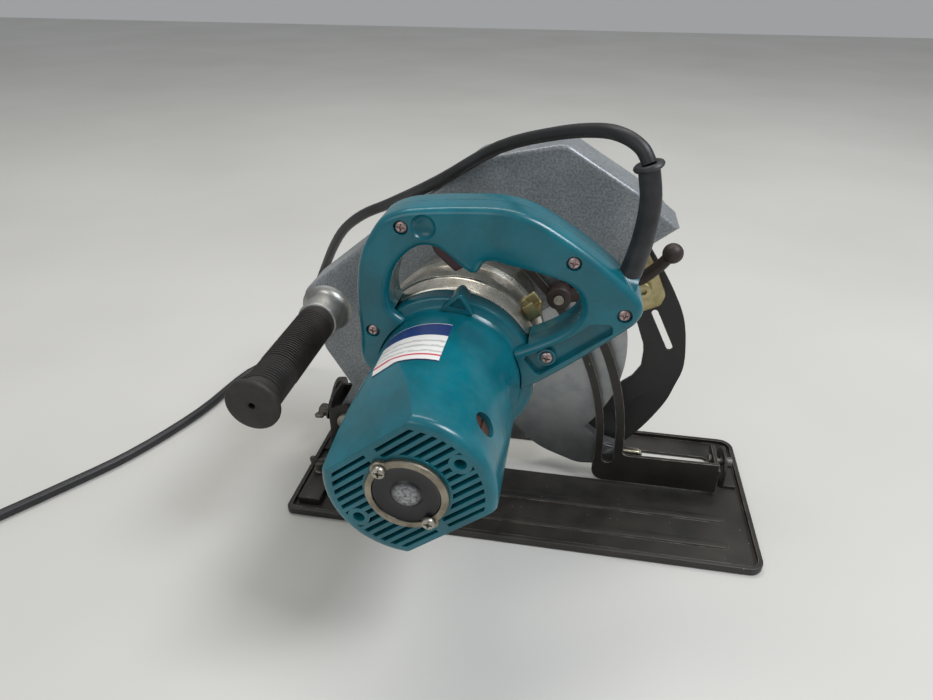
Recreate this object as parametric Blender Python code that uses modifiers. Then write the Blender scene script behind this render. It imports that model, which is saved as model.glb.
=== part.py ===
"""Corded circular saw on its base plate, saw body swung up to the shallowest depth.

Metres, +Z up. The origin lies on the sole plane, in the middle of the wide strip of the base.
-X is the cutting direction, +X the rear, -Y the motor side, +Y the blade side.
"""
import math

import bmesh
import bpy
from mathutils import Matrix, Vector

MM = 0.001
GAP = 0.3

# Base plate (mm)
BASE_LENGTH = 400.0
BASE_WIDTH = 167.0
BASE_NEAR = -50.0
BASE_FAR = BASE_NEAR + BASE_WIDTH
BASE_FRONT = -BASE_LENGTH / 2
BASE_REAR = BASE_LENGTH / 2
SHEET = 3.0
RIM = 7.0
SLOT_NEAR = 40.0
SLOT_FAR = 90.0
SLOT_FRONT = -151.0
SLOT_REAR = 174.0

# Joints (mm, degrees)
PIVOT_X = -171.0
PIVOT_Z = 39.5
BODY_TILT = 39.0
BEVEL_Y = 55.0
BEVEL_Z = 2.0
CLAMP_Y = 52.0
CLAMP_Z = 38.0

# Saw body, in the body's own frame: u to the rear, v up, measured from the depth pivot (mm)
BLADE_U = 159.0
BLADE_V = -7.0
BLADE_Y = 62.0
BLADE_RADIUS = 117.5
BLADE_TEETH = 40
MOTOR_U = 175.0
MOTOR_V = 25.0
MOTOR_RADIUS = 50.0
MOTOR_END = -180.0
FLAT_HALF = 35.5
FLAT_TAPER = 12.3
FLANGE_RADIUS = 59.0
HANDLE_NEAR = -65.0
HANDLE_FAR = -31.0
HANDLE_MID = (HANDLE_NEAR + HANDLE_FAR) / 2
CASE_NEAR = 41.0
CASE_FAR = 86.0
GUARD_NEAR = 47.0
GUARD_FAR = 77.0
GUARD_RADIUS = 122.0
GUIDE_NEAR = 36.0
GUIDE_FAR = 39.0
GUIDE_RADIUS = 245.5
GRIP_U = 69.0
GRIP_V = 97.0
PINION_RADIUS = 7.2
GEAR_RADIUS = 28.2

# Cord (mm)
CORD_DIAMETER = 9.0
COIL_RADIUS = 48.0
COIL_CENTRE = (-540.0, -150.0)
PLUG_AT = (-486.5, -184.2, 18.8)
CORD_ROUTE = [
    (63.9, -41.9, 321.2), (61, -40, 325.2), (54.5, -36, 329.3), (45, -29, 331.5), (33, -18, 330),
    (11, 0, 323.5), (-31, 27, 306), (-76, 38, 277), (-131, 85, 240), (-161, 105, 222), (-187, 125, 200), (-208, 145, 173),
    (-231, 168, 135), (-256, 180, 88), (-282, 181, 44), (-306, 171, 13), (-330, 150, 4.8),
    (-347, 69, 4.8), (-378, -8, 4.8), (-412, -61, 4.8), (-445, -108, 4.8), (-478, -154.9, 4.8),
]


def clear_scene():
    for item in list(bpy.data.objects):
        bpy.data.objects.remove(item, do_unlink=True)


def make_collection(name):
    collection = bpy.data.collections.new(name)
    bpy.context.scene.collection.children.link(collection)
    return collection


def linear(channel):
    return channel / 12.92 if channel <= 0.04045 else ((channel + 0.055) / 1.055) ** 2.4


def material(name, colour, roughness, metallic=0.0):
    found = bpy.data.materials.get(name)
    if found:
        return found
    made = bpy.data.materials.new(name)
    made.use_nodes = True
    shader = made.node_tree.nodes["Principled BSDF"]
    rgb = [linear(int(colour[i:i + 2], 16) / 255) for i in (0, 2, 4)]
    shader.inputs["Base Color"].default_value = (*rgb, 1.0)
    shader.inputs["Roughness"].default_value = roughness
    shader.inputs["Metallic"].default_value = metallic
    made.diffuse_color = (*rgb, 1.0)
    return made


def finish(obj, name, parent=None, finish_name="steel"):
    """Name a sub-part, give it its material and hang it on its joint's empty."""
    obj.name = name
    obj.data.materials.clear()
    obj.data.materials.append(material(finish_name, *FINISHES[finish_name]))
    obj.parent = parent
    for collection in list(obj.users_collection):
        collection.objects.unlink(obj)
    PARTS.objects.link(obj)
    return obj


def as_cutter(obj, parent=None):
    obj.parent = parent
    obj.hide_render = True
    obj.display_type = "WIRE"
    for collection in list(obj.users_collection):
        collection.objects.unlink(obj)
    CUTTERS.objects.link(obj)
    return obj


def new_empty(name, location, rotation=(0, 0, 0), parent=None):
    empty = bpy.data.objects.new(name, None)
    empty.location = [value * MM for value in location]
    empty.rotation_euler = [math.radians(angle) for angle in rotation]
    empty.parent = parent
    PARTS.objects.link(empty)
    return empty


def arc(centre, radius, start, end, steps):
    """Points along an arc, angles in degrees, anticlockwise when end is above start."""
    points = []
    for i in range(steps + 1):
        angle = math.radians(start + (end - start) * i / steps)
        points.append((centre[0] + radius * math.cos(angle), centre[1] + radius * math.sin(angle)))
    return points


def rounded(corners, steps=4):
    """Outline through (x, y, radius) corners, each corner an arc of its radius."""
    points = []
    count = len(corners)
    for i, (x, y, radius) in enumerate(corners):
        here = Vector((x, y))
        if radius <= 0:
            points.append((x, y))
            continue
        before = (Vector(corners[i - 1][:2]) - here).normalized()
        after = (Vector(corners[(i + 1) % count][:2]) - here).normalized()
        half = before.angle(after) / 2
        centre = here + (before + after).normalized() * radius / math.sin(half)
        first = here + before * radius / math.tan(half) - centre
        last = here + after * radius / math.tan(half) - centre
        turn = math.atan2(first.cross(last), first.dot(last))
        for step in range(steps + 1):
            offset = Matrix.Rotation(turn * step / steps, 2) @ first
            points.append((centre.x + offset.x, centre.y + offset.y))
    return points


def slot_arc(centre, radius, width, start, end, steps):
    """Closed outline of a curved slot."""
    outer = arc(centre, radius + width / 2, start, end, steps)
    inner = arc(centre, radius - width / 2, end, start, steps)
    return outer + inner


def circle(centre, radius, steps=24):
    return arc(centre, radius, 0, 360 * (steps - 1) / steps, steps - 1)


def extruded(outlines, low, high, axis="Y", round_edge=0.0):
    """Solid plate from 2D outlines (the first is the rim, the others are holes)."""
    data = bpy.data.curves.new("outline", "CURVE")
    data.dimensions = "2D"
    data.fill_mode = "BOTH"
    data.extrude = ((high - low) / 2 - round_edge) * MM
    data.bevel_depth = round_edge * MM
    data.bevel_resolution = 1
    data.offset = -round_edge * MM
    for outline in outlines:
        spline = data.splines.new("POLY")
        spline.points.add(len(outline) - 1)
        for point, (x, y) in zip(spline.points, outline):
            point.co = (x * MM, y * MM, 0, 1)
        spline.use_cyclic_u = True
    curve = bpy.data.objects.new("outline", data)
    if axis == "Y":
        curve.location = (0, (low + high) / 2 * MM, 0)
        curve.rotation_euler = (math.pi / 2, 0, 0)
    elif axis == "X":
        curve.location = ((low + high) / 2 * MM, 0, 0)
        curve.rotation_euler = (math.pi / 2, 0, math.pi / 2)
    else:
        curve.location = (0, 0, (low + high) / 2 * MM)
    return curve_to_mesh(curve)


def curve_to_mesh(curve):
    """Replace a curve with a welded mesh in the same place."""
    bpy.context.scene.collection.objects.link(curve)
    bpy.context.view_layer.update()
    evaluated = curve.evaluated_get(bpy.context.evaluated_depsgraph_get())
    mesh = bpy.data.meshes.new_from_object(evaluated)
    mesh.transform(curve.matrix_world)
    bpy.data.objects.remove(curve, do_unlink=True)
    shape = bmesh.new()
    shape.from_mesh(mesh)
    bmesh.ops.remove_doubles(shape, verts=shape.verts, dist=0.00002)
    bmesh.ops.recalc_face_normals(shape, faces=shape.faces)
    shape.to_mesh(mesh)
    shape.free()
    made = bpy.data.objects.new("solid", mesh)
    bpy.context.scene.collection.objects.link(made)
    return made


def place(obj, centre, axis):
    """Turn a shape made about +Z so that it lies about the named axis, then move it."""
    turns = {"Z": (0, 0, 0), "Y": (-math.pi / 2, 0, 0), "X": (0, math.pi / 2, 0)}
    turn = Matrix.Rotation(turns[axis][0], 4, "X") @ Matrix.Rotation(turns[axis][1], 4, "Y")
    obj.data.transform(Matrix.Translation(Vector(centre) * MM) @ turn)
    return obj


def turned(profile, centre, axis="Y", steps=32):
    """Screw a closed (radius, height) profile about an axis; heights run along that axis."""
    mesh = bpy.data.meshes.new("profile")
    verts = [(radius * MM, 0, height * MM) for radius, height in profile]
    on_axis = profile[0][0] == 0
    edges = [(i, i + 1) for i in range(len(verts) - 1)]
    if not on_axis:
        edges.append((len(verts) - 1, 0))
    mesh.from_pydata(verts, edges, [])
    obj = bpy.data.objects.new("turned", mesh)
    bpy.context.scene.collection.objects.link(obj)
    screw = obj.modifiers.new("Screw", "SCREW")
    screw.steps = steps
    screw.render_steps = steps
    screw.use_merge_vertices = True
    screw.merge_threshold = 0.00001
    screw.use_smooth_shade = True
    bpy.context.view_layer.update()
    evaluated = obj.evaluated_get(bpy.context.evaluated_depsgraph_get())
    solid = bpy.data.meshes.new_from_object(evaluated)
    bpy.data.objects.remove(obj, do_unlink=True)
    shape = bmesh.new()
    shape.from_mesh(solid)
    bmesh.ops.remove_doubles(shape, verts=shape.verts, dist=0.00001)
    bmesh.ops.recalc_face_normals(shape, faces=shape.faces)
    shape.to_mesh(solid)
    shape.free()
    made = bpy.data.objects.new("turned", solid)
    bpy.context.scene.collection.objects.link(made)
    return place(made, centre, axis)


def cylinder(radius, low, high, centre, axis="Y", steps=24):
    """Solid cylinder between two heights along an axis through a centre point."""
    mesh = bpy.data.meshes.new("cylinder")
    shape = bmesh.new()
    bmesh.ops.create_cone(shape, cap_ends=True, segments=steps, radius1=radius * MM,
                          radius2=radius * MM, depth=(high - low) * MM,
                          matrix=Matrix.Translation((0, 0, (low + high) / 2 * MM)))
    shape.to_mesh(mesh)
    shape.free()
    made = bpy.data.objects.new("cylinder", mesh)
    bpy.context.scene.collection.objects.link(made)
    return place(made, centre, axis)


def box(low, high):
    mesh = bpy.data.meshes.new("box")
    shape = bmesh.new()
    bmesh.ops.create_cube(shape, size=1)
    size = (Vector(high) - Vector(low)) * MM
    middle = (Vector(high) + Vector(low)) / 2 * MM
    bmesh.ops.scale(shape, vec=size, verts=shape.verts)
    bmesh.ops.translate(shape, vec=middle, verts=shape.verts)
    shape.to_mesh(mesh)
    shape.free()
    made = bpy.data.objects.new("box", mesh)
    bpy.context.scene.collection.objects.link(made)
    return made


def tube(points, radii, resolution=3):
    """Round bar along a POLY spline, with a radius at each point."""
    data = bpy.data.curves.new("tube", "CURVE")
    data.dimensions = "3D"
    data.bevel_depth = MM
    data.bevel_resolution = resolution
    data.use_fill_caps = True
    spline = data.splines.new("POLY")
    spline.points.add(len(points) - 1)
    for i, point in enumerate(points):
        spline.points[i].co = (*[value * MM for value in point], 1)
        spline.points[i].radius = radii[i]
    return curve_to_mesh(bpy.data.objects.new("tube", data))


def smooth_route(points, spacing):
    """Points at an even spacing on a centripetal curve through the route's own points."""
    nodes = [Vector(point) for point in points]
    nodes = [2 * nodes[0] - nodes[1]] + nodes + [2 * nodes[-1] - nodes[-2]]
    fine = []
    for i in range(1, len(nodes) - 2):
        p0, p1, p2, p3 = nodes[i - 1:i + 3]
        t1 = (p1 - p0).length ** 0.5
        t2 = t1 + (p2 - p1).length ** 0.5
        t3 = t2 + (p3 - p2).length ** 0.5
        for step in range(12):
            t = t1 + (t2 - t1) * step / 12
            a1 = p0 * (t1 - t) / t1 + p1 * t / t1
            a2 = p1 * (t2 - t) / (t2 - t1) + p2 * (t - t1) / (t2 - t1)
            a3 = p2 * (t3 - t) / (t3 - t2) + p3 * (t - t2) / (t3 - t2)
            b1 = a1 * (t2 - t) / t2 + a2 * t / t2
            b2 = a2 * (t3 - t) / (t3 - t1) + a3 * (t - t1) / (t3 - t1)
            fine.append(b1 * (t2 - t) / (t2 - t1) + b2 * (t - t1) / (t2 - t1))
    fine.append(nodes[-2])
    lengths = [0.0]
    for a, b in zip(fine, fine[1:]):
        lengths.append(lengths[-1] + (b - a).length)
    count = max(2, round(lengths[-1] / spacing))
    even = []
    k = 0
    for i in range(count + 1):
        target = lengths[-1] * i / count
        while k < len(lengths) - 2 and lengths[k + 1] < target:
            k += 1
        share = (target - lengths[k]) / (lengths[k + 1] - lengths[k])
        even.append(fine[k].lerp(fine[k + 1], share))
    return even


def boolean(obj, other, operation="DIFFERENCE"):
    modifier = obj.modifiers.new("Boolean", "BOOLEAN")
    modifier.operation = operation
    modifier.object = other
    modifier.solver = "EXACT"
    return obj


def soften(obj, width, segments=2, angle=35):
    modifier = obj.modifiers.new("Bevel", "BEVEL")
    modifier.width = width * MM
    modifier.segments = segments
    modifier.limit_method = "ANGLE"
    modifier.angle_limit = math.radians(angle)
    return obj


def cut(obj, cutters, parent=None):
    for cutter in cutters:
        boolean(obj, as_cutter(cutter, parent))
    return obj


def join(obj, others, parent=None):
    for other in others:
        boolean(obj, as_cutter(other, parent), "UNION")
    return obj


FINISHES = {
    "teal_plastic": ("0A6674", 0.32),
    "grey_cast": ("8C8F92", 0.5, 0.3),
    "black_steel": ("23211F", 0.45, 0.3),
    "bright_aluminium": ("C9C8C4", 0.25, 1.0),
    "zinc_steel": ("A9ABAB", 0.38, 0.9),
    "yellow_zinc": ("B4A878", 0.35, 0.9),
    "steel": ("9A9A98", 0.35, 1.0),
    "rubber": ("1E1C1B", 0.75),
    "black_plastic": ("1B1B1C", 0.5),
    "maroon_plastic": ("3A1B22", 0.45),
    "brown_plastic": ("3E2A22", 0.55),
    "copper": ("A8643C", 0.4, 0.9),
    "carbon": ("2A2A2C", 0.6),
}

clear_scene()
PARTS = make_collection("circular_saw")
CUTTERS = make_collection("cutters")
BEVEL = new_empty("bevel_axis", (0, BEVEL_Y, BEVEL_Z))
BODY = new_empty("depth_axis", (PIVOT_X, -BEVEL_Y, PIVOT_Z - BEVEL_Z), (0, -BODY_TILT, 0), BEVEL)


def in_bevel(obj):
    """Shift a mesh drawn in the saw's frame into the bevel empty's frame."""
    obj.data.transform(Matrix.Translation((0, -BEVEL_Y * MM, -BEVEL_Z * MM)))
    return obj


# ---------------------------------------------------------------- base plate

def base_plate():
    rim = rounded([(BASE_FRONT, BASE_NEAR, 6), (BASE_REAR, BASE_NEAR, 12),
                   (BASE_REAR, BASE_FAR, 12), (BASE_FRONT, BASE_FAR, 6)])
    inner = rounded([(BASE_FRONT + 4, BASE_NEAR + 4, 4), (BASE_REAR - 4, BASE_NEAR + 4, 9),
                     (BASE_REAR - 4, BASE_FAR - 4, 9), (BASE_FRONT + 4, BASE_FAR - 4, 4)])
    slot = rounded([(SLOT_FRONT, SLOT_NEAR, 6), (SLOT_REAR, SLOT_NEAR, 6),
                    (SLOT_REAR, SLOT_FAR, 6), (SLOT_FRONT, SLOT_FAR, 6)])
    plate = extruded([rim], 0, RIM, "Z")
    pan = extruded([inner], SHEET, RIM + 5, "Z")
    blade_slot = extruded([slot], -5, RIM + 5, "Z")
    relief = box((-191, 70, -5), (-148, 104, RIM + 5))
    cut(plate, [pan, blade_slot, relief])
    ribs = []
    for y in (-24.0, 6.0):
        ribs.append(soften(box((-110, y - 3.5, SHEET - 1), (176, y + 3.5, SHEET + 1.4)), 1.0, 1))
    join(plate, ribs)
    finish(plate, "base_plate", None, "black_steel")


def bevel_quadrant():
    """Upright plate at the front of the base with the curved slot for the bevel clamp."""
    outline = [(34, 3.3)] + rounded([(36, 28, 16), (50, 50, 16), (74, 64, 18), (97, 50, 14),
                                     (103, 22, 18)], 3) + [(104, 3.3)]
    slot = slot_arc((BEVEL_Y, BEVEL_Z), 36.1, 7, 100.5, 42, 8)
    plate = extruded([outline, slot], -192.0, -189.5, "X")
    foot = box((-195.6, 34.5, 3.3), (-191.0, 103.5, 5.8))
    join(plate, [foot])
    finish(plate, "bevel_quadrant", None, "black_steel")


def rear_bracket():
    """Small upright behind the blade slot that carries the rear bevel pin."""
    outline = rounded([(48, 3.3, 0), (84, 3.3, 0), (84, 20, 8), (74, 32, 8), (56, 32, 8), (48, 22, 6)])
    slot = slot_arc((BEVEL_Y, BEVEL_Z), 21.8, 7, 86, 17, 6)
    plate = extruded([outline, slot], 180.0, 182.5, "X")
    foot = box((182.0, 48, 3.3), (193.0, 84, 5.8))
    join(plate, [foot])
    finish(plate, "rear_bevel_bracket", None, "black_steel")


def fence_clamp():
    """Channel for the rip fence across the front of the base, with its wing bolt."""
    channel = box((-193, -38, 3.3), (-173, 14, 9.5))
    groove = box((-200, -28, 2.0), (-160, -8, 6.5))
    cut(channel, [groove])
    hole = cylinder(3.3, 0, 20, (-185, 0, 0), "Z", 16)
    cut(channel, [hole])
    finish(channel, "fence_clamp", None, "black_steel")
    bolt = turned([(0, 20), (5, 19.4), (5.4, 12), (7, 11.2), (7, 9.8), (3, 9.8), (3, 3.6), (0, 3.6)],
                  (-185, 0, 0), "Z", 20)
    wings = box((-196, -1.3, 13), (-174, 1.3, 25))
    notch = box((-189.5, -3, 20.6), (-180.5, 3, 30))
    cut(wings, [notch])
    join(bolt, [wings])
    finish(bolt, "fence_wing_bolt", None, "zinc_steel")


# ---------------------------------------------------------------- bevel frame

def bevel_bracket():
    """U-shaped bracket that tilts on the quadrant and carries the depth pivot."""
    outline = rounded([(40, 9, 0), (58, 9, 0), (84, 35, 0), (84, 58, 10), (40, 58, 10)])
    front = in_bevel(extruded([outline], -189.0, -186.0, "X"))
    cheeks = []
    for low, high, foot in ((40.0, 43.5, 14), (80.5, 84.0, 33.2)):
        cheek = rounded([(-188, foot, 0), (-166, foot, 6), (-157, 36, 6), (-159, 50, 8),
                         (-170, 56, 8), (-188, 50, 0)])
        hole = circle((PIVOT_X, PIVOT_Z), 5.3, 16)
        cheeks.append(in_bevel(extruded([cheek, hole], low, high)))
    join(front, cheeks, BEVEL)
    hole = cylinder(3.4, -230, -150, (0, CLAMP_Y, CLAMP_Z), "X", 16)
    cut(front, [in_bevel(hole)], BEVEL)
    finish(front, "bevel_bracket", BEVEL, "black_steel")


def bevel_clamp_bolt():
    """Wing bolt through the quadrant's slot; its head is in front."""
    bolt = turned([(0, -183.4), (5, -183.4), (5, -185.6), (3.1, -185.6), (3.1, -192.4),
                   (7.5, -192.4), (7.5, -194), (5.2, -195), (4.4, -203), (0, -203.6)],
                  (0, CLAMP_Y, CLAMP_Z), "X", 20)
    wings = box((-206, CLAMP_Y - 12, CLAMP_Z - 1.4), (-196, CLAMP_Y + 12, CLAMP_Z + 1.4))
    join(bolt, [in_bevel(wings)], BEVEL)
    finish(in_bevel(bolt), "bevel_wing_bolt", BEVEL, "zinc_steel")


def depth_guide():
    """Slotted arc about the depth pivot, its long foot and the rear tab on the bevel pin."""
    centre = (PIVOT_X, PIVOT_Z)
    outer = arc(centre, GUIDE_RADIUS + 12.8, 0, 47, 16)
    inner = arc(centre, GUIDE_RADIUS - 12, 47, -4, 18)
    foot = arc((73.5, 18.1), 11.6, 185, 270, 5) + [(171.5, 6.5), (171.5, 38), (94, 37), (89.5, 38)]
    outline = outer + inner + foot
    slot = slot_arc(centre, GUIDE_RADIUS, 10, -1.7, 44.5, 16)
    plate = extruded([outline, slot], GUIDE_NEAR, GUIDE_FAR)
    tab_outline = rounded([(GUIDE_NEAR, 6.5, 0), (56, 6.5, 6), (76, 25, 4), (76, 32, 4),
                           (GUIDE_NEAR, 32, 0)])
    pin_hole = circle((BEVEL_Y + 6, BEVEL_Z + 21), 3.5, 14)
    tab = extruded([tab_outline, pin_hole], 170.0, 173.0, "X")
    boolean(in_bevel(plate), as_cutter(in_bevel(tab), BEVEL), "UNION")
    finish(plate, "depth_guide", BEVEL, "black_steel")


def rear_bevel_pin():
    pin = turned([(0, 188), (5, 188), (5, 182.9), (3.1, 182.9), (3.1, 169.6), (6.4, 169.6),
                  (6.4, 167), (0, 166)], (0, BEVEL_Y + 6, BEVEL_Z + 21), "X", 20)
    finish(in_bevel(pin), "rear_bevel_pin", BEVEL, "yellow_zinc")


def depth_pivot_pin():
    pin = turned([(0, 86.8), (6.4, 86.5), (6.4, 84.3), (5, 84.3), (5, 39.7), (8.5, 39.7),
                  (8.5, 35), (0, 34)],
                 (PIVOT_X, 0, PIVOT_Z), "Y", 20)
    finish(in_bevel(pin), "depth_pivot_pin", BEVEL, "zinc_steel")


# ---------------------------------------------------------------- blade case and gear housing

def blade_case():
    """Hollow cast cover over the blade, with the arm to the depth pivot and the grip boss."""
    outline = rounded([(59, 121, 14), (255, 121, 24), (313, 91, 18), (335, 32, 30), (345, -9, 0),
                       (28, -9, 0), (28, 12, 6), (37, 68, 20)])
    hollow = rounded([(64, 117.4, 10), (253, 117.4, 22), (309, 89, 14), (331, 31, 26), (341, -30, 0),
                      (32, -30, 0), (32, 12, 6), (41, 68, 16)])
    case = extruded([outline], CASE_NEAR, CASE_FAR, round_edge=3.4)
    inside = extruded([hollow], CASE_NEAR + 3.5, CASE_FAR - 3.5)
    far_edge = box((20, CASE_FAR - 6, -20), (360, CASE_FAR + 5, 2))
    cut(case, [inside, far_edge], BODY)
    arm = arc((0, 0), 12, 80, 280, 8) + [(31, -8.5), (31, 26)]
    arm_plate = extruded([arm, circle((0, 0), 5.3, 16)], 46.2, 78)
    grip_boss = cylinder(17, 15.3, CASE_NEAR + 2, (GRIP_U, 0, GRIP_V), "Y", 24)
    hub = cylinder(23.5, 34, 49.2, (BLADE_U, 0, BLADE_V), "Y", 32)
    join(case, [arm_plate, grip_boss, hub], BODY)
    seat = cylinder(17.8, 30, 44, (BLADE_U, 0, BLADE_V), "Y", 32)
    lip = cylinder(12, 30, 60, (BLADE_U, 0, BLADE_V), "Y", 24)
    bolt_hole = cylinder(4.4, 30, 50, (245, 0, 0), "Y", 16)
    stud_hole = cylinder(4.4, 10, 38, (GRIP_U, 0, GRIP_V), "Y", 16)
    cut(case, [seat, lip, bolt_hole, stud_hole], BODY)
    finish(case, "blade_case", BODY, "grey_cast")


def gear_housing():
    """Ringed aluminium casting about the motor axis, open to the gears and to the fan."""
    profile = [(59, -45.7), (60.5, -43), (60.5, -31), (62, -29), (62, -22), (59.5, -20), (59.5, -4),
               (62, -2), (62, 6), (57, 9), (55, 40.7), (49, 40.7), (49, 2), (14.3, 2),
               (14.3, -10.6), (11, -10.6), (11, -14), (19, -14), (19, -6), (46, -6), (46, -45.7)]
    housing = turned(profile, (MOTOR_U, 0, MOTOR_V), "Y", 32)
    nose = cylinder(31.5, 8, 40.7, (BLADE_U, 0, BLADE_V), "Y", 40)
    join(housing, [nose], BODY)
    chamber = cylinder(29.8, 10, 50, (BLADE_U, 0, BLADE_V), "Y", 40)
    gear_space = cylinder(48.7, 3, 50, (MOTOR_U, 0, MOTOR_V), "Y", 36)
    lock_slot = box((205, -30.3, 15.7), (260, -9.7, 28.3))
    cut(housing, [chamber, gear_space, lock_slot], BODY)
    finish(housing, "gear_housing", BODY, "bright_aluminium")


def shaft_lock():
    block = box((222, -30, 16), (245, -10, 28))
    notch = box((236, -27, 19), (250, -13, 32))
    cut(block, [notch], BODY)
    finish(block, "shaft_lock", BODY, "yellow_zinc")


def grip_parts():
    ribs = []
    for i in range(10):
        low = 7 - i * 11
        ribs += [(14.2, low), (15.5, low - 1), (15.5, low - 8), (14.2, low - 9)]
    profile = [(4.4, 15), (15.5, 15), (15.5, 9)] + ribs + [(20, -103), (20, -106), (18.5, -107), (5, -107),
                                               (5, -92), (4.4, -92)]
    grip = turned(profile, (GRIP_U, 0, GRIP_V), "Y", 16)
    finish(grip, "side_grip", BODY, "rubber")
    stud = cylinder(4, -85, 37.5, (GRIP_U, 0, GRIP_V), "Y", 16)
    finish(stud, "grip_stud", BODY, "zinc_steel")


# ---------------------------------------------------------------- motor

def flat_blocks(distance):
    """Two wedges that leave tapered flats above and below the motor axis."""
    blocks = []
    slope = math.tan(math.radians(FLAT_TAPER))
    for side in (1, -1):
        near = MOTOR_V + side * distance
        far = MOTOR_V + side * (distance + slope * 120)
        outer = MOTOR_V + side * 90
        corners = [(MOTOR_END, near), (MOTOR_END + 120, far), (MOTOR_END + 120, outer),
                   (MOTOR_END - 10, outer), (MOTOR_END - 10, near - side * slope * 10)]
        blocks.append(extruded([corners], MOTOR_U - 80, MOTOR_U + 80, "X"))
    return blocks


def vent_cutter():
    """Straight slots along u, kept clear of the bearing seat, the cross rib and two bosses."""
    slots = extruded([circle((MOTOR_U, MOTOR_V), 43.2, 40)], MOTOR_END - 2, MOTOR_END + 9.5)
    bars = []
    for row in range(14):
        low = MOTOR_V - 35.1 + 5.2 * row
        bars.append(box((MOTOR_U - 60, MOTOR_END - 5, low), (MOTOR_U + 60, MOTOR_END + 15, low + 2.6)))
    ends = [box((MOTOR_U - 60, MOTOR_END - 5, -40), (MOTOR_U + 60, MOTOR_END + 15, MOTOR_V - 32)),
            box((MOTOR_U - 60, MOTOR_END - 5, MOTOR_V + 32), (MOTOR_U + 60, MOTOR_END + 15, 90))]
    seat = cylinder(25.5, MOTOR_END - 6, MOTOR_END + 16, (MOTOR_U, 0, MOTOR_V), "Y", 32)
    rib = box((MOTOR_U - 4, MOTOR_END - 6, -40), (MOTOR_U + 4, MOTOR_END + 16, 90))
    bosses = [cylinder(6.5, MOTOR_END - 6, MOTOR_END + 16, (MOTOR_U + side * 38, 0, MOTOR_V), "Y", 16)
              for side in (1, -1)]
    cut(slots, bars + ends + [seat, rib] + bosses, BODY)
    return slots


def motor_housing():
    """Round plastic housing with two tapered flats, a slotted end and a flange at the gear side."""
    profile = [(0, MOTOR_END), (46, MOTOR_END), (49, MOTOR_END + 1.2), (MOTOR_RADIUS, MOTOR_END + 4),
               (MOTOR_RADIUS, -58.5), (FLANGE_RADIUS - 1.5, -56.5), (FLANGE_RADIUS, -55),
               (FLANGE_RADIUS, -46), (0, -46)]
    housing = turned(profile, (MOTOR_U, 0, MOTOR_V), "Y", 46)
    cut(housing, flat_blocks(FLAT_HALF), BODY)
    boss = cylinder(8, -68, -46, (MOTOR_U + 42, 0, MOTOR_V + 41), "Y", 20)
    join(housing, [boss], BODY)
    bore = cylinder(44, MOTOR_END + 8, -40, (MOTOR_U, 0, MOTOR_V), "Y", 40)
    cut(bore, flat_blocks(FLAT_HALF - 4), BODY)
    seat = turned([(9, MOTOR_END + 5), (16, MOTOR_END + 5), (16, MOTOR_END + 12),
                   (9, MOTOR_END + 12)], (MOTOR_U, 0, MOTOR_V), "Y", 28)
    cut(bore, [seat], BODY)
    bearing = cylinder(11.3, MOTOR_END - 5, MOTOR_END + 14, (MOTOR_U, 0, MOTOR_V), "Y", 28)
    brushes = cylinder(7.3, -60, 60, (MOTOR_U, -153, MOTOR_V), "X", 24)
    cut(housing, [bore, bearing, brushes, vent_cutter()], BODY)
    holes = [cylinder(2.2, MOTOR_END - 5, MOTOR_END + 7, (174, 0, v), "Y", 12) for v in (46, 4)]
    holes += [cylinder(2.6, MOTOR_END - 5, MOTOR_END + 12, (MOTOR_U + side * 38, 0, MOTOR_V), "Y", 12)
              for side in (1, -1)]
    cut(housing, holes, BODY)
    finish(housing, "motor_housing", BODY, "teal_plastic")


def bearing_retainer():
    y = MOTOR_END - 0.3
    ring = turned([(19.6, y), (23.8, y), (23.8, y - 2.4), (22.6, y - 3.2), (19.6, y - 3.2)],
                  (MOTOR_U, 0, MOTOR_V), "Y", 36)
    ears = [cylinder(5.6, y - 3.2, y, (174, 0, v), "Y", 20) for v in (46, 4)]
    join(ring, ears, BODY)
    centre = cylinder(19.6, y - 5, y + 2, (MOTOR_U, 0, MOTOR_V), "Y", 36)
    holes = [cylinder(2.2, y - 6, y + 3, (174, 0, v), "Y", 12) for v in (46, 4)]
    cut(ring, [centre] + holes, BODY)
    finish(ring, "retainer_ring", BODY, "zinc_steel")
    cap = turned([(0, y - 2.6), (8.6, y - 2.4), (9.4, y - 1.4), (17.6, y - 1.2), (19.2, y - 2),
                  (19.2, y), (0, y)], (MOTOR_U, 0, MOTOR_V), "Y", 32)
    finish(cap, "bearing_cap", BODY, "black_steel")
    for number, v in enumerate((46, 4), 1):
        screw = turned([(0, y - 6), (3.4, y - 5.8), (4, y - 5), (4, y - 3.5), (1.9, y - 3.5),
                        (1.9, y + 6), (0, y + 6)], (174, 0, v), "Y", 20)
        cross = [box((170, y - 8, v - 0.5), (178, y - 4.8, v + 0.5))]
        cut(screw, cross, BODY)
        finish(screw, f"retainer_screw_{number}", BODY, "zinc_steel")


def brushes():
    for number, side in enumerate((1, -1), 1):
        centre = (MOTOR_U, -153, MOTOR_V)
        low, high = sorted((side * 41.0, side * 46.6))
        cap = cylinder(7.0, low, high, centre, "X", 24)
        slot = box((MOTOR_U + side * 47 - 1.8, -163, MOTOR_V - 0.8),
                   (MOTOR_U + side * 47 + 1.8, -143, MOTOR_V + 0.8))
        cut(cap, [slot], BODY)
        finish(cap, f"brush_cap_{number}", BODY, "brown_plastic")
        low, high = sorted((side * 14.4, side * 34.0))
        brush = box((MOTOR_U + low, -157, MOTOR_V - 3), (MOTOR_U + high, -149, MOTOR_V + 3))
        finish(brush, f"brush_{number}", BODY, "carbon")


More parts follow.
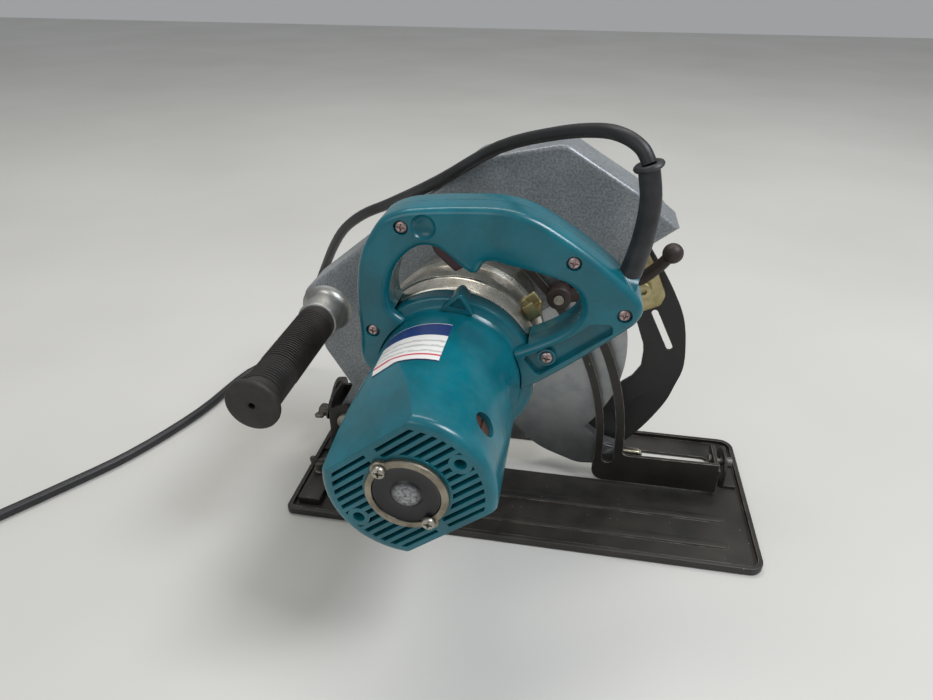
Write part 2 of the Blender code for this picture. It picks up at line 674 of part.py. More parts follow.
def stator():
    ring = turned([(26.5, -118), (43.6, -118), (43.6, -62), (26.5, -62)], (MOTOR_U, 0, MOTOR_V), "Y", 36)
    slots = [box((MOTOR_U + side * 33 - 4, -125, MOTOR_V - 22), (MOTOR_U + side * 33 + 4, -55, MOTOR_V + 22))
             for side in (1, -1)]
    cut(ring, slots, BODY)
    finish(ring, "stator", BODY, "steel")


def bearing(name, inner, outer, low, high, centre):
    width = high - low
    groove = (inner + outer) / 2
    profile = [(inner, low), (outer, low), (outer, high), (groove + 1.5, high), (groove + 1.2, high - width / 8),
               (groove - 1.2, high - width / 8), (groove - 1.5, high), (inner, high)]
    finish(turned(profile, centre, "Y", 20), name, BODY, "steel")


def toothed(centre, root, tip, teeth, low, high, phase, bore=None):
    """Gear wheel with plain trapezoidal teeth; phase in degrees turns the first tooth."""
    outline = []
    for i in range(teeth):
        for share, radius in ((-0.26, root), (-0.13, tip), (0.13, tip), (0.26, root)):
            angle = math.radians(phase + (i + share) * 360 / teeth)
            outline.append((centre[0] + radius * math.cos(angle), centre[1] + radius * math.sin(angle)))
    outlines = [outline]
    if bore:
        outlines.append(circle(centre, bore, 24))
    return extruded(outlines, low, high)


def armature():
    centre = (MOTOR_U, 0, MOTOR_V)
    shaft = turned([(0, -178), (4.3, -177.5), (4.3, -170.6), (6, -169.5), (6, -12), (5, -11.2), (5, 13),
                    (5, 33), (4.5, 34), (0, 34)], centre, "Y", 20)
    mesh_angle = math.degrees(math.atan2(BLADE_V - MOTOR_V, BLADE_U - MOTOR_U))
    pinion = toothed((MOTOR_U, MOTOR_V), 5.9, 8.1, 11, 14, 30, mesh_angle)
    join(shaft, [pinion], BODY)
    finish(shaft, "armature_shaft", BODY, "steel")
    core = cylinder(25.4, -116, -64, centre, "Y", 36)
    core_cuts = [cylinder(6.3, -130, -50, centre, "Y", 20)]
    for i in range(12):
        angle = math.radians(15 + i * 30)
        at = (MOTOR_U + 24.5 * math.cos(angle), 0, MOTOR_V + 24.5 * math.sin(angle))
        core_cuts.append(cylinder(2.2, -130, -50, at, "Y", 8))
    cut(core, core_cuts, BODY)
    finish(core, "armature_core", BODY, "steel")
    commutator = turned([(6.3, -162), (14, -162), (14, -146), (16, -145), (16, -143), (6.3, -143)],
                        centre, "Y", 32)
    finish(commutator, "commutator", BODY, "copper")
    fan = turned([(6.3, -24), (11, -24), (11, -20.5), (41, -18.5), (41, -16.5), (6.3, -16.5)],
                 centre, "Y", 32)
    vanes = []
    for i in range(12):
        vane = box((12, -38, -0.9), (40, -18.0, 0.9))
        turn = Matrix.Translation(Vector(centre) * MM) @ Matrix.Rotation(math.radians(i * 30), 4, "Y")
        vane.data.transform(turn)
        vanes.append(vane)
    join(fan, vanes, BODY)
    finish(fan, "cooling_fan", BODY, "black_plastic")


def spindle_parts():
    centre = (BLADE_U, 0, BLADE_V)
    spindle = turned([(0, 12), (7.4, 12), (7.9, 13), (7.9, 49.8), (20, 50), (20, 60.6), (14.7, 60.6),
                      (14.7, 63), (5.4, 63), (5.4, 46), (0, 46)], centre, "Y", 28)
    finish(spindle, "spindle", BODY, "steel")
    mesh_angle = math.degrees(math.atan2(MOTOR_V - BLADE_V, MOTOR_U - BLADE_U))
    gear = toothed((BLADE_U, BLADE_V), 26.9, 28.9, 43, 14, 30, mesh_angle + 180 / 43, 8.2)
    finish(gear, "large_gear", BODY, "steel")
    finish(saw_blade(), "saw_blade", BODY, "steel")
    flange = turned([(5.3, 63.4), (22, 63.4), (22, 65), (17, 69), (5.3, 69)], centre, "Y", 28)
    finish(flange, "outer_flange", BODY, "zinc_steel")
    bolt_head = cylinder(9.2, 69.3, 74.8, centre, "Y", 6)
    bolt = turned([(0, 46.6), (5, 46.6), (5, 69.3), (10, 69.3), (10, 70.3), (0, 70.3)], centre, "Y", 20)
    join(bolt, [bolt_head], BODY)
    finish(bolt, "blade_bolt", BODY, "zinc_steel")


def saw_blade():
    """Toothed disc with a centre hole; each tooth has a face, a tip and a sloped back."""
    outline = []
    for i in range(BLADE_TEETH):
        start = -360 / BLADE_TEETH * i
        for turn, radius in ((0, BLADE_RADIUS), (-1.4, BLADE_RADIUS - 0.3), (-6.2, BLADE_RADIUS - 4),
                             (-7.4, BLADE_RADIUS - 9), (-8.6, BLADE_RADIUS - 7)):
            angle = math.radians(start + turn)
            outline.append((BLADE_U + radius * math.cos(angle), BLADE_V + radius * math.sin(angle)))
    bore = circle((BLADE_U, BLADE_V), 15, 28)
    return extruded([outline, bore], BLADE_Y - 1.1, BLADE_Y + 1.1)


# ---------------------------------------------------------------- lower guard and riving knife

def around_blade(points):
    return [(BLADE_U + u, BLADE_V + v) for u, v in points]


def lower_guard():
    """Swinging guard: near wall with its long lip, rim and ring-shaped far wall."""
    lip = [(-27, -86), (-25, -109), (-20, -123), (-11, -139), (-4, -150), (7, -158), (31, -173),
           (42, -178), (48, -172), (48, -165), (35, -153), (29, -145), (25, -129), (24.5, -119.8)]
    sweep = arc((0, 0), GUARD_RADIUS, -78.5, 80, 30)
    wall = [(5, 62), (-30, 40), (-40, 5)] + lip + sweep[1:]
    plate = extruded([around_blade(wall), circle((BLADE_U, BLADE_V), 23.8, 32)],
                     GUARD_NEAR, GUARD_NEAR + 1.6)
    band = arc((0, 0), GUARD_RADIUS - 0.3, -98, 79, 34) + arc((0, 0), GUARD_RADIUS - 2, 79, -98, 34)
    rim = extruded([around_blade(band)], GUARD_NEAR + 0.5, GUARD_FAR - 0.5)
    ring = arc((0, 0), GUARD_RADIUS, -97, 80, 34) + arc((0, 0), 62, 80, -97, 20)
    far = extruded([around_blade(ring)], GUARD_FAR - 1.6, GUARD_FAR)
    hem = [(41, -160.2), (34, -153.6), (27.8, -145.3), (24, -129), (23.5, -123.5),
           (26, -123.5), (26.6, -129), (31, -144.4), (36.3, -151.8), (43.4, -158.4)]
    turned_lip = extruded([around_blade(hem)], GUARD_NEAR + 0.5, GUARD_NEAR + 10)
    join(plate, [rim, far, turned_lip], BODY)
    knob_hole = cylinder(2.9, 40, 60, KNOB, "Y", 14)
    cut(plate, [knob_hole], BODY)
    finish(plate, "lower_guard", BODY, "zinc_steel")
    knob = turned([(0, 46), (5.6, 46), (6, 46.4), (6, 46.7), (2.6, 46.7), (2.6, 48.9), (6, 48.9),
                   (6, 59.4), (5.4, 60.3), (0, 60.3)], KNOB, "Y", 20)
    finish(knob, "guard_knob", BODY, "yellow_zinc")
    spring = turned([(26, 44.8), (31, 44.8), (31, 46.7), (26, 46.7)], (BLADE_U, 0, BLADE_V), "Y", 28)
    finish(spring, "guard_spring", BODY, "steel")


def riving_knife():
    outer = [(318, -12), (316, -39), (313, -62), (308, -84), (298, -105), (283, -127), (269, -138),
             (255, -148), (236, -157), (216, -164), (198, -168), (186, -168)]
    inner = arc((BLADE_U, BLADE_V), 127.5, -80, -55, 8) + [(243, -111), (255, -106), (264, -95),
                                                          (268, -88), (274, -69), (288, -12)]
    slot = arc((291, -68), 2.7, -11.3, 168.7, 4) + arc((284, -103), 2.7, 168.7, 348.7, 4)
    knife = extruded([outer + inner, slot], BLADE_Y - 1.25, BLADE_Y + 1.25)
    travel = arc((296, -40), 3.9, 168.7, 348.7, 8) + arc((296.7, -36.5), 3.9, -11.3, 168.7, 8)
    cut(knife, [extruded([travel], 50, 70)], BODY)
    finish(knife, "riving_knife", BODY, "black_steel")
    bracket_outline = rounded([(288, 6, 0), (318, 6, 0), (313, -33, 4), (308, -54, 6), (300, -60, 6),
                               (283, -56, 4)])
    bracket = extruded([bracket_outline], 50.5, 57)
    hole = cylinder(3.9, 40, 70, (296, 0, -40), "Y", 16)
    cut(bracket, [hole], BODY)
    finish(bracket, "knife_bracket", BODY, "yellow_zinc")
    bolt = turned([(0, 45.6), (6.4, 45.6), (6.8, 46.4), (6.8, 50.2), (3.5, 50.2), (3.5, 68), (0, 68)],
                  (296, 0, -40), "Y", 20)
    finish(bolt, "knife_bolt", BODY, "yellow_zinc")


# ---------------------------------------------------------------- handle

HANDLE_OUTLINE = [(130, 65), (146, 87), (163, 109), (184, 128), (205, 137), (214, 138.5), (227, 135),
                  (241, 127), (260, 114), (279, 99), (291, 83), (300, 61), (306, 42), (311, 20),
                  (313, 5), (311, -4), (304, -9), (294, -10.5), (210, -11), (180, 0), (150, 40)]
OPENING = [(178, 77), (176, 87), (180, 95), (187, 102), (199, 109), (212, 111.5), (222, 110),
           (230, 102), (236, 78), (240, 75.5), (249, 78), (260, 67), (274, 50), (283, 36), (284, 27),
           (279, 17), (270, 12.5), (256, 11.5), (229, 16), (205, 25), (178, 60)]
HANDLE_SCREWS = [(220, 127), (294, 47), (300, 0), (155, 83), (241, 1)]


def handle_half(name, low, high):
    """One half of the D-handle: everything outside the two given faces is cut away."""
    handle = extruded([HANDLE_OUTLINE, OPENING], HANDLE_NEAR, HANDLE_FAR, round_edge=4.5)
    collar = cylinder(11.6, -6, 12, (0, 0, 0), "X", 24)
    tilt = Matrix.Translation(Vector((306, -46, 9.5)) * MM) @ Matrix.Rotation(math.radians(-38), 4, "Y")
    collar.data.transform(tilt)
    join(handle, [collar], BODY)
    socket = cylinder(8.4, 2, 30, (0, 0, 0), "X", 24)
    socket.data.transform(tilt)
    cutters = [socket]
    cutters.append(cylinder(51, HANDLE_NEAR - 10, -57, (MOTOR_U, 0, MOTOR_V), "Y", 48))
    cutters.append(cylinder(61, -59, HANDLE_FAR + 10, (MOTOR_U, 0, MOTOR_V), "Y", 48))
    pocket = [(220, 122), (219, 100), (219, 70), (254, 70), (254, 84), (247, 112), (242, 122)]
    cutters.append(extruded([pocket], HANDLE_MID - 7.3, HANDLE_MID + 7.3))
    switch = [(250, 108), (268, 97), (286, 66), (271, 61), (252, 86)]
    cutters.append(extruded([switch], HANDLE_MID - 10, HANDLE_MID + 10))
    for u, v in HANDLE_SCREWS:
        cutters.append(cylinder(2.2, HANDLE_NEAR - 2, -37, (u, 0, v), "Y", 12))
        cutters.append(cylinder(4.6, HANDLE_NEAR - 2, HANDLE_NEAR + 2.8, (u, 0, v), "Y", 20))
    cutters.append(turned([(0, HANDLE_NEAR - 1), (8, HANDLE_NEAR - 1), (6.6, HANDLE_NEAR + 1.6),
                           (0, HANDLE_NEAR + 1.6)], (232, 0, 119), "Y", 24))
    cutters.append(box((100, low - 60, -40), (350, low, 180)))
    cutters.append(box((100, high, -40), (350, high + 60, 180)))
    cut(handle, cutters, BODY)
    finish(handle, name, BODY, "teal_plastic")


def handle_parts():
    handle_half("handle_near", HANDLE_NEAR - 1, HANDLE_MID - GAP / 2)
    handle_half("handle_far", HANDLE_MID + GAP / 2, HANDLE_FAR + 1)
    for number, (u, v) in enumerate(HANDLE_SCREWS, 1):
        tip = -46.3 if number == 4 else -38
        screw = turned([(0, -64.6), (3.6, -64.4), (4.1, -63.6), (4.1, -62.5), (1.9, -62.5), (1.9, tip),
                        (0, tip)], (u, 0, v), "Y", 16)
        finish(screw, f"handle_screw_{number}", BODY, "zinc_steel")
    outline = rounded([(228, 119.5, 3), (237, 119.5, 3), (236, 100, 0), (236, 80, 3), (225, 82, 3),
                       (222.5, 100, 8)])
    trigger = extruded([outline], HANDLE_MID - 6.9, HANDLE_MID + 6.9, round_edge=1.2)
    hole = cylinder(2.1, HANDLE_MID - 10, HANDLE_MID + 10, (232, 0, 115), "Y", 12)
    cut(trigger, [hole], BODY)
    finish(trigger, "trigger", BODY, "maroon_plastic")
    pin = cylinder(1.8, HANDLE_MID - 6.9, HANDLE_MID + 6.9, (232, 0, 115), "Y", 12)
    finish(pin, "trigger_pin", BODY, "steel")
    switch = extruded([[(253, 104), (266, 95.5), (283, 66.5), (272, 63.5), (255, 87)]],
                      HANDLE_MID - 9.6, HANDLE_MID + 9.6)
    finish(switch, "switch", BODY, "black_plastic")


def cord_guard():
    """Rubber sleeve from the handle's collar to its end flange, open along its middle."""
    route = smooth_route([(311.5, -46, 13.5), (323, -44, 22), (334, -42.5, 31.5), (348.5, -42, 48),
                          (357.8, -42, 65.5)], 5)
    radii = [7.2 - 0.6 * i / (len(route) - 1) for i in range(len(route))]
    sleeve = tube(route, radii, 3)
    flange = turned([(0, -4), (8.6, -4), (9.4, -2), (8.6, 0), (0, 0)], (0, 0, 0), "Z", 24)
    tilt = Matrix.Translation(Vector((358.8, -42, 68)) * MM) @ Matrix.Rotation(math.radians(20), 4, "Y")
    flange.data.transform(tilt)
    boolean(sleeve, as_cutter(flange, BODY), "UNION")
    finish(sleeve, "cord_guard", BODY, "rubber")


def clamp_parts():
    """Depth clamp: carriage bolt through the guide and the ball-ended lever on it."""
    bolt = turned([(0, 46.6), (7, 46.2), (7, 44.8), (4, 44.8), (4, 20.5), (0, 20.5)], (245, 0, 0), "Y", 20)
    finish(bolt, "clamp_bolt", BODY, "zinc_steel")
    hub = turned([(4.3, 35.6), (9, 35.6), (9.5, 34), (9.5, 23), (8.5, 22), (4.3, 22)], (245, 0, 0), "Y", 24)
    route = smooth_route([(252, 28, -4), (275, 25, -12), (302, 20, -18), (322, 12, -14), (335, 6, -8.5)], 6)
    arm = tube(route, [5.4 - 1.2 * i / (len(route) - 1) for i in range(len(route))], 2)
    ball = turned([(0, 7.2)] + [(7.2 * math.cos(a), 7.2 * math.sin(a)) for a in
                                [math.radians(60 - 20 * i) for i in range(7)]] + [(0, -7.2)],
                  (336, 5, -8), "Y", 20)
    join(hub, [arm, ball], BODY)
    bore = cylinder(4.3, 15, 40, (245, 0, 0), "Y", 16)
    cut(hub, [bore], BODY)
    finish(hub, "clamp_lever", BODY, "black_steel")


# ---------------------------------------------------------------- cord

def cord_parts():
    route = smooth_route(CORD_ROUTE, 24)
    cord = tube(route, [CORD_DIAMETER / 2] * len(route), 2)
    finish(cord, "power_cord", None, "rubber")
    x, y = COIL_CENTRE
    ring = [(COIL_RADIUS - 9, 0.3), (COIL_RADIUS + 9, 0.3), (COIL_RADIUS + 10, 4), (COIL_RADIUS + 10, 24),
            (COIL_RADIUS + 9, 27.7), (COIL_RADIUS - 9, 27.7), (COIL_RADIUS - 10, 24), (COIL_RADIUS - 10, 4)]
    coil = turned(ring, (x, y, 0), "Z", 32)
    finish(coil, "cord_coil", None, "rubber")
    profile = [(0, 0), (6, 0), (8.4, 14), (17, 20), (18.5, 24), (18.5, 44), (0, 44)]
    plug = turned(profile, (0, 0, 0), "Z", 24)
    pins = [cylinder(2.4, 43, 62, (side * 9.5, 0, 0), "Z", 12) for side in (1, -1)]
    lay = Matrix.Translation(Vector(PLUG_AT) * MM)
    lay = lay @ Matrix.Rotation(math.radians(90), 4, "X")
    for piece in [plug] + pins:
        piece.data.transform(lay)
    join(plug, pins)
    finish(plug, "plug", None, "black_plastic")


def smooth_round_faces():
    bpy.context.view_layer.update()
    for obj in PARTS.objects:
        if obj.type == "MESH":
            obj.data.shade_smooth()
            obj.data.set_sharp_from_angle(angle=math.radians(35))


KNOB = (BLADE_U + 42.5, 0, BLADE_V - 171.5)

base_plate()
bevel_quadrant()
rear_bracket()
fence_clamp()
bevel_bracket()
bevel_clamp_bolt()
depth_guide()
rear_bevel_pin()
depth_pivot_pin()
blade_case()
gear_housing()
shaft_lock()
grip_parts()
motor_housing()
bearing_retainer()
brushes()
stator()
bearing("rear_bearing", 4.6, 11.0, -177.5, -170.5, (MOTOR_U, 0, MOTOR_V))
bearing("front_bearing", 5.3, 14.0, -10.3, -1.3, (MOTOR_U, 0, MOTOR_V))
bearing("spindle_bearing", 8.2, 17.5, 35.0, 43.7, (BLADE_U, 0, BLADE_V))
armature()
spindle_parts()
lower_guard()
riving_knife()
handle_parts()
cord_guard()
clamp_parts()
cord_parts()
smooth_round_faces()
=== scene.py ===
import math

import bpy
from mathutils import Matrix, Vector


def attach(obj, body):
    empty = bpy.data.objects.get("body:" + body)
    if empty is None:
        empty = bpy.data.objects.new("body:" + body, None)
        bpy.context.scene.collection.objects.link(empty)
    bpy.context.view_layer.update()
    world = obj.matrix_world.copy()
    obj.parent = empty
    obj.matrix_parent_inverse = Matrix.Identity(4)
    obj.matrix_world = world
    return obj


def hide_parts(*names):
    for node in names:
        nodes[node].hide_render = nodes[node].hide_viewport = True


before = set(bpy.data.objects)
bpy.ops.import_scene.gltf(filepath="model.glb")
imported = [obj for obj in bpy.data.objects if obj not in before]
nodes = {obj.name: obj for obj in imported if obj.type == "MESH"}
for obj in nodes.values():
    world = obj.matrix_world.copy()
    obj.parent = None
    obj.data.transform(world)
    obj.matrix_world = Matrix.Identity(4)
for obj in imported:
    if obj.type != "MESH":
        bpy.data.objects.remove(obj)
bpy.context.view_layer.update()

mm = 0.001
bodyTilt = 39.0                                   # degrees the saw body is swung up at rest
pivot = Vector((-0.171, 0, 0.0395))               # depth pivot
motorAt = (175.0, 25.0)                           # motor axis in the saw body's own frame, mm
bladeAt = (159.0, -7.0)                           # spindle axis


# Camera and light

def hexColour(code, alpha=1.0):
    channels = [int(code[i:i + 2], 16) / 255 for i in (0, 2, 4)]
    return (*[c / 12.92 if c <= 0.04045 else ((c + 0.055) / 1.055) ** 2.4 for c in channels], alpha)


def setCamera():
    view = {"at": (0.0259, -0.4402, 0.4209), "yaw": 9.65, "down": 59.13, "roll": 0.39, "lens": 25.41}
    lens = bpy.data.cameras.new("viewCamera")
    lens.lens = view["lens"]
    lens.sensor_width = 36
    lens.clip_start = 0.01
    camera = bpy.data.objects.new("viewCamera", lens)
    turn = (Matrix.Rotation(math.radians(view["yaw"]), 4, "Z")
            @ Matrix.Rotation(math.radians(view["down"]), 4, "X")
            @ Matrix.Rotation(math.radians(view["roll"]), 4, "Z"))
    camera.matrix_world = Matrix.Translation(view["at"]) @ turn
    bpy.context.scene.collection.objects.link(camera)
    bpy.context.scene.camera = camera


def addLight(name, at, aim, size, power, colour):
    lamp = bpy.data.lights.new(name, "AREA")
    lamp.shape = "RECTANGLE"
    lamp.size, lamp.size_y = size
    lamp.energy = power
    lamp.color = hexColour(colour)[:3]
    light = bpy.data.objects.new(name, lamp)
    light.location = at
    light.rotation_euler = (Vector(aim) - Vector(at)).to_track_quat("-Z", "Y").to_euler()
    bpy.context.scene.collection.objects.link(light)


def setStudio():
    studio = {"floor": "D2D1CC", "sky": "E9ECEF", "skyPower": 0.42}
    world = bpy.data.worlds.new("studio")
    bpy.context.scene.world = world
    world.use_nodes = True
    world.node_tree.nodes["Background"].inputs["Color"].default_value = hexColour(studio["sky"])
    world.node_tree.nodes["Background"].inputs["Strength"].default_value = studio["skyPower"]
    addLight("windowLight", (1.25, -0.35, 2.1), (-0.02, 0, 0.1), (0.9, 0.7), 36, "F6F8FF")
    addLight("ceilingLight", (-0.35, 0.75, 2.3), (0, 0, 0.1), (2.2, 0.35), 20, "FFFBF4")
    addLight("frontFill", (-0.9, -1.9, 1.3), (0, 0, 0.15), (1.6, 1.0), 7, "FFFFFF")
    bpy.context.scene.view_settings.view_transform = "Standard"
    pickNothing()
    bpy.ops.mesh.primitive_plane_add(size=9, location=(0, 0, 0))
    floor = bpy.context.object
    floor.name = "floor"
    settle(floor)
    floor.data.materials.append(plainFloor(studio["floor"]))


# Picking, settling and shaping

def pickNothing():
    if bpy.context.object and bpy.context.object.mode != "OBJECT":
        bpy.ops.object.mode_set(mode="OBJECT")
    bpy.ops.object.select_all(action="DESELECT")


def pick(piece):
    pickNothing()
    piece.select_set(True)
    bpy.context.view_layer.objects.active = piece


def settle(piece):
    pick(piece)
    bpy.ops.object.transform_apply(location=True, rotation=True, scale=True)
    return piece


def closeUp(piece, gap=0.00002):
    pick(piece)
    bpy.ops.object.mode_set(mode="EDIT")
    bpy.ops.mesh.select_all(action="SELECT")
    bpy.ops.mesh.remove_doubles(threshold=gap)
    bpy.ops.mesh.normals_make_consistent(inside=False)
    bpy.ops.object.mode_set(mode="OBJECT")
    return piece


def arc(centre, radius, start, end, steps):
    turns = [math.radians(start + (end - start) * i / steps) for i in range(steps + 1)]
    return [(centre[0] + radius * math.cos(a), centre[1] + radius * math.sin(a)) for a in turns]


def circle(centre, radius, steps=48):
    return arc(centre, radius, 0, 360 * (steps - 1) / steps, steps - 1)


def slotArc(centre, radius, width, start, end, steps):
    # curved slot with round ends
    half = width / 2
    outline = arc(centre, radius + half, start, end, steps)
    tip = (centre[0] + radius * math.cos(math.radians(end)),
           centre[1] + radius * math.sin(math.radians(end)))
    outline += arc(tip, half, end, end + 180, 8)[1:-1]
    outline += arc(centre, radius - half, end, start, steps)
    tip = (centre[0] + radius * math.cos(math.radians(start)),
           centre[1] + radius * math.sin(math.radians(start)))
    return outline + arc(tip, half, start + 180, start + 360, 8)[1:-1]


def rounded(corners, steps=8):
    # outline through (x, y, radius) corners
    points = []
    for i, (x, y, radius) in enumerate(corners):
        here = Vector((x, y))
        if radius <= 0:
            points.append((x, y))
            continue
        before = (Vector(corners[i - 1][:2]) - here).normalized()
        after = (Vector(corners[(i + 1) % len(corners)][:2]) - here).normalized()
        half = before.angle(after) / 2
        centre = here + (before + after).normalized() * radius / math.sin(half)
        first = here + before * radius / math.tan(half) - centre
        last = here + after * radius / math.tan(half) - centre
        turn = math.atan2(first.cross(last), first.dot(last))
        for step in range(steps + 1):
            offset = Matrix.Rotation(turn * step / steps, 2) @ first
            points.append((centre.x + offset.x, centre.y + offset.y))
    return points


def flowing(points, steps=5, closed=True):
    # smooth line through given points
    count = len(points)
    spots = [Vector(p) for p in points]
    line = []
    for i in range(count if closed else count - 1):
        if closed:
            p0, p1, p2, p3 = spots[i - 1], spots[i], spots[(i + 1) % count], spots[(i + 2) % count]
        else:
            p1, p2 = spots[i], spots[i + 1]
            p0 = spots[i - 1] if i else p1 * 2 - p2
            p3 = spots[i + 2] if i + 2 < count else p2 * 2 - p1
        t1 = max((p1 - p0).length, 1e-6) ** 0.5
        t2 = t1 + max((p2 - p1).length, 1e-6) ** 0.5
        t3 = t2 + max((p3 - p2).length, 1e-6) ** 0.5
        for step in range(steps):
            t = t1 + (t2 - t1) * step / steps
            a1 = p0 * (t1 - t) / t1 + p1 * t / t1
            a2 = p1 * (t2 - t) / (t2 - t1) + p2 * (t - t1) / (t2 - t1)
            a3 = p2 * (t3 - t) / (t3 - t2) + p3 * (t - t2) / (t3 - t2)
            b1 = a1 * (t2 - t) / t2 + a2 * t / t2
            b2 = a2 * (t3 - t) / (t3 - t1) + a3 * (t - t1) / (t3 - t1)
            line.append(tuple(b1 * (t2 - t) / (t2 - t1) + b2 * (t - t1) / (t2 - t1)))
    if not closed:
        line.append(tuple(spots[-1]))
    return line


def linked(name, data):
    piece = bpy.data.objects.new(name, data)
    bpy.context.scene.collection.objects.link(piece)
    return piece


def flatPiece(name, outlines, low, high, edge=0.0, plane="Y", rounds=2):
    # plate or block: flat curve filled, given its thickness and round edges, then made a mesh
    data = bpy.data.curves.new(name, "CURVE")
    data.dimensions = "2D"
    data.fill_mode = "BOTH"
    data.extrude = ((high - low) / 2 - edge) * mm
    data.bevel_depth = edge * mm
    data.bevel_resolution = rounds
    data.offset = -edge * mm
    for outline in outlines:
        spline = data.splines.new("POLY")
        spline.points.add(len(outline) - 1)
        for point, (x, y) in zip(spline.points, outline):
            point.co = (x * mm, y * mm, 0, 1)
        spline.use_cyclic_u = True
    pick(linked(name, data))
    bpy.ops.object.convert(target="MESH")
    piece = bpy.context.object
    middle = (low + high) / 2 * mm
    if plane == "Y":
        piece.location, piece.rotation_euler = (0, middle, 0), (math.pi / 2, 0, 0)
    elif plane == "X":
        piece.location, piece.rotation_euler = (middle, 0, 0), (math.pi / 2, 0, math.pi / 2)
    else:
        piece.location = (0, 0, middle)
    settle(piece)
    return closeUp(piece)


def standUp(piece, centre, axis):
    # from its own +Z to the named axis, then to its place
    piece.rotation_euler = {"Z": (0, 0, 0), "Y": (-math.pi / 2, 0, 0), "X": (0, math.pi / 2, 0)}[axis]
    piece.location = [c * mm for c in centre]
    return settle(piece)


def lathe(name, profile, centre, axis="Y", steps=64):
    # profile of (radius, height) points spun about the axis
    data = bpy.data.curves.new(name, "CURVE")
    data.dimensions = "3D"
    spline = data.splines.new("POLY")
    spline.points.add(len(profile) - 1)
    for point, (radius, height) in zip(spline.points, profile):
        point.co = (radius * mm, 0, height * mm, 1)
    spline.use_cyclic_u = profile[0][0] > 0
    pick(linked(name, data))
    bpy.ops.object.convert(target="MESH")
    piece = bpy.context.object
    bpy.ops.object.mode_set(mode="EDIT")
    bpy.ops.mesh.select_all(action="SELECT")
    bpy.ops.mesh.spin(steps=steps, angle=math.tau, center=(0, 0, 0), axis=(0, 0, 1))
    bpy.ops.object.mode_set(mode="OBJECT")
    closeUp(piece, 0.000005)
    return standUp(piece, centre, axis)


def barrel(name, radius, low, high, centre, axis="Y", steps=48):
    pickNothing()
    bpy.ops.mesh.primitive_cylinder_add(vertices=steps, radius=radius * mm, depth=(high - low) * mm,
                                        location=(0, 0, (low + high) / 2 * mm))
    piece = bpy.context.object
    piece.name = name
    settle(piece)
    return standUp(piece, centre, axis)


def block(name, low, high):
    pickNothing()
    bpy.ops.mesh.primitive_cube_add(size=1, location=[(a + b) / 2 * mm for a, b in zip(low, high)])
    piece = bpy.context.object
    piece.name = name
    piece.scale = [(b - a) * mm for a, b in zip(low, high)]
    return settle(piece)


def carve(piece, tools, operation="DIFFERENCE"):
    for tool in tools if isinstance(tools, list) else [tools]:
        modifier = piece.modifiers.new("carve", "BOOLEAN")
        modifier.operation = operation
        modifier.solver = "EXACT"
        modifier.object = tool
        pick(piece)
        bpy.ops.object.modifier_apply(modifier=modifier.name)
        bpy.data.objects.remove(tool, do_unlink=True)
    return piece


def weld(piece, others):
    return carve(piece, others, "UNION")


def roundOff(piece, width, segments=2, angle=30):
    modifier = piece.modifiers.new("roundOff", "BEVEL")
    modifier.width = width * mm
    modifier.segments = segments
    modifier.limit_method = "ANGLE"
    modifier.angle_limit = math.radians(angle)
    pick(piece)
    bpy.ops.object.modifier_apply(modifier=modifier.name)
    return piece


def wire(name, points, radii, sides=4):
    # round bar or tube along points, with a radius at each
    data = bpy.data.curves.new(name, "CURVE")
    data.dimensions = "3D"
    data.bevel_depth = mm
    data.bevel_resolution = sides
    data.use_fill_caps = True
    spline = data.splines.new("POLY")
    spline.points.add(len(points) - 1)
    for i, point in enumerate(points):
        spline.points[i].co = (*[v * mm for v in point], 1)
        spline.points[i].radius = radii[i]
    return linked(name, data)


def asMesh(piece):
    pick(piece)
    bpy.ops.object.convert(target="MESH")
    return closeUp(bpy.context.object)


def swingUp(piece):
    # from the saw body's own frame to where it stands at rest
    piece.rotation_euler = (0, -math.radians(bodyTilt), 0)
    piece.location = pivot
    return settle(piece)


def finishPiece(piece, body, finish, replaced=(), swung=False, smooth=32):
    # pieces of the bodies that stay level are made where they stand
    if not swung and body not in ("base", "fence_bolt", "bevel_frame", "bevel_bolt"):
        swingUp(piece)
    pick(piece)
    bpy.ops.object.shade_smooth_by_angle(angle=math.radians(smooth))
    piece.data.materials.clear()
    piece.data.materials.append(paint[finish])
    if replaced:
        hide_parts(*replaced)
    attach(piece, body)
    return piece


# Materials

def feed(tree, node, inputs):
    # sockets are linked; hex codes and numbers are set
    for key, value in inputs.items():
        if isinstance(value, bpy.types.NodeSocket):
            tree.links.new(value, node.inputs[key])
        else:
            node.inputs[key].default_value = hexColour(value) if isinstance(value, str) else value


def addNode(tree, kind, inputs=None, **properties):
    node = tree.nodes.new("ShaderNode" + kind)
    for key, value in properties.items():
        setattr(node, key, value)
    feed(tree, node, inputs or {})
    return node


def newMaterial(name):
    # material, its node tree, its shader and the piece's own coordinates
    material = bpy.data.materials.new(name)
    material.use_nodes = True
    tree = material.node_tree
    return material, tree, tree.nodes["Principled BSDF"], addNode(tree, "TexCoord").outputs["Object"]


def noise(tree, place, size, detail=2.0, roughness=0.5):
    # cloudy pattern with features of about this size in metres
    inputs = {"Vector": place, "Scale": 1 / size, "Detail": detail, "Roughness": roughness}
    return addNode(tree, "TexNoise", inputs).outputs["Fac"]


def ramp(tree, source, stops, interpolation="LINEAR"):
    # (place, colour) stops, the colour a hex code or a grey level
    node = addNode(tree, "ValToRGB", {"Fac": source})
    elements = node.color_ramp.elements
    while len(elements) < len(stops):
        elements.new(0.5)
    for element, (place, colour) in zip(elements, stops):
        element.position = place
        element.color = hexColour(colour) if isinstance(colour, str) else (colour, colour, colour, 1)
    node.color_ramp.interpolation = interpolation
    return node.outputs["Color"]


def stretched(tree, place, scale, turn=(0, 0, 0)):
    return addNode(tree, "Mapping", {"Vector": place, "Scale": scale, "Rotation": turn}).outputs["Vector"]


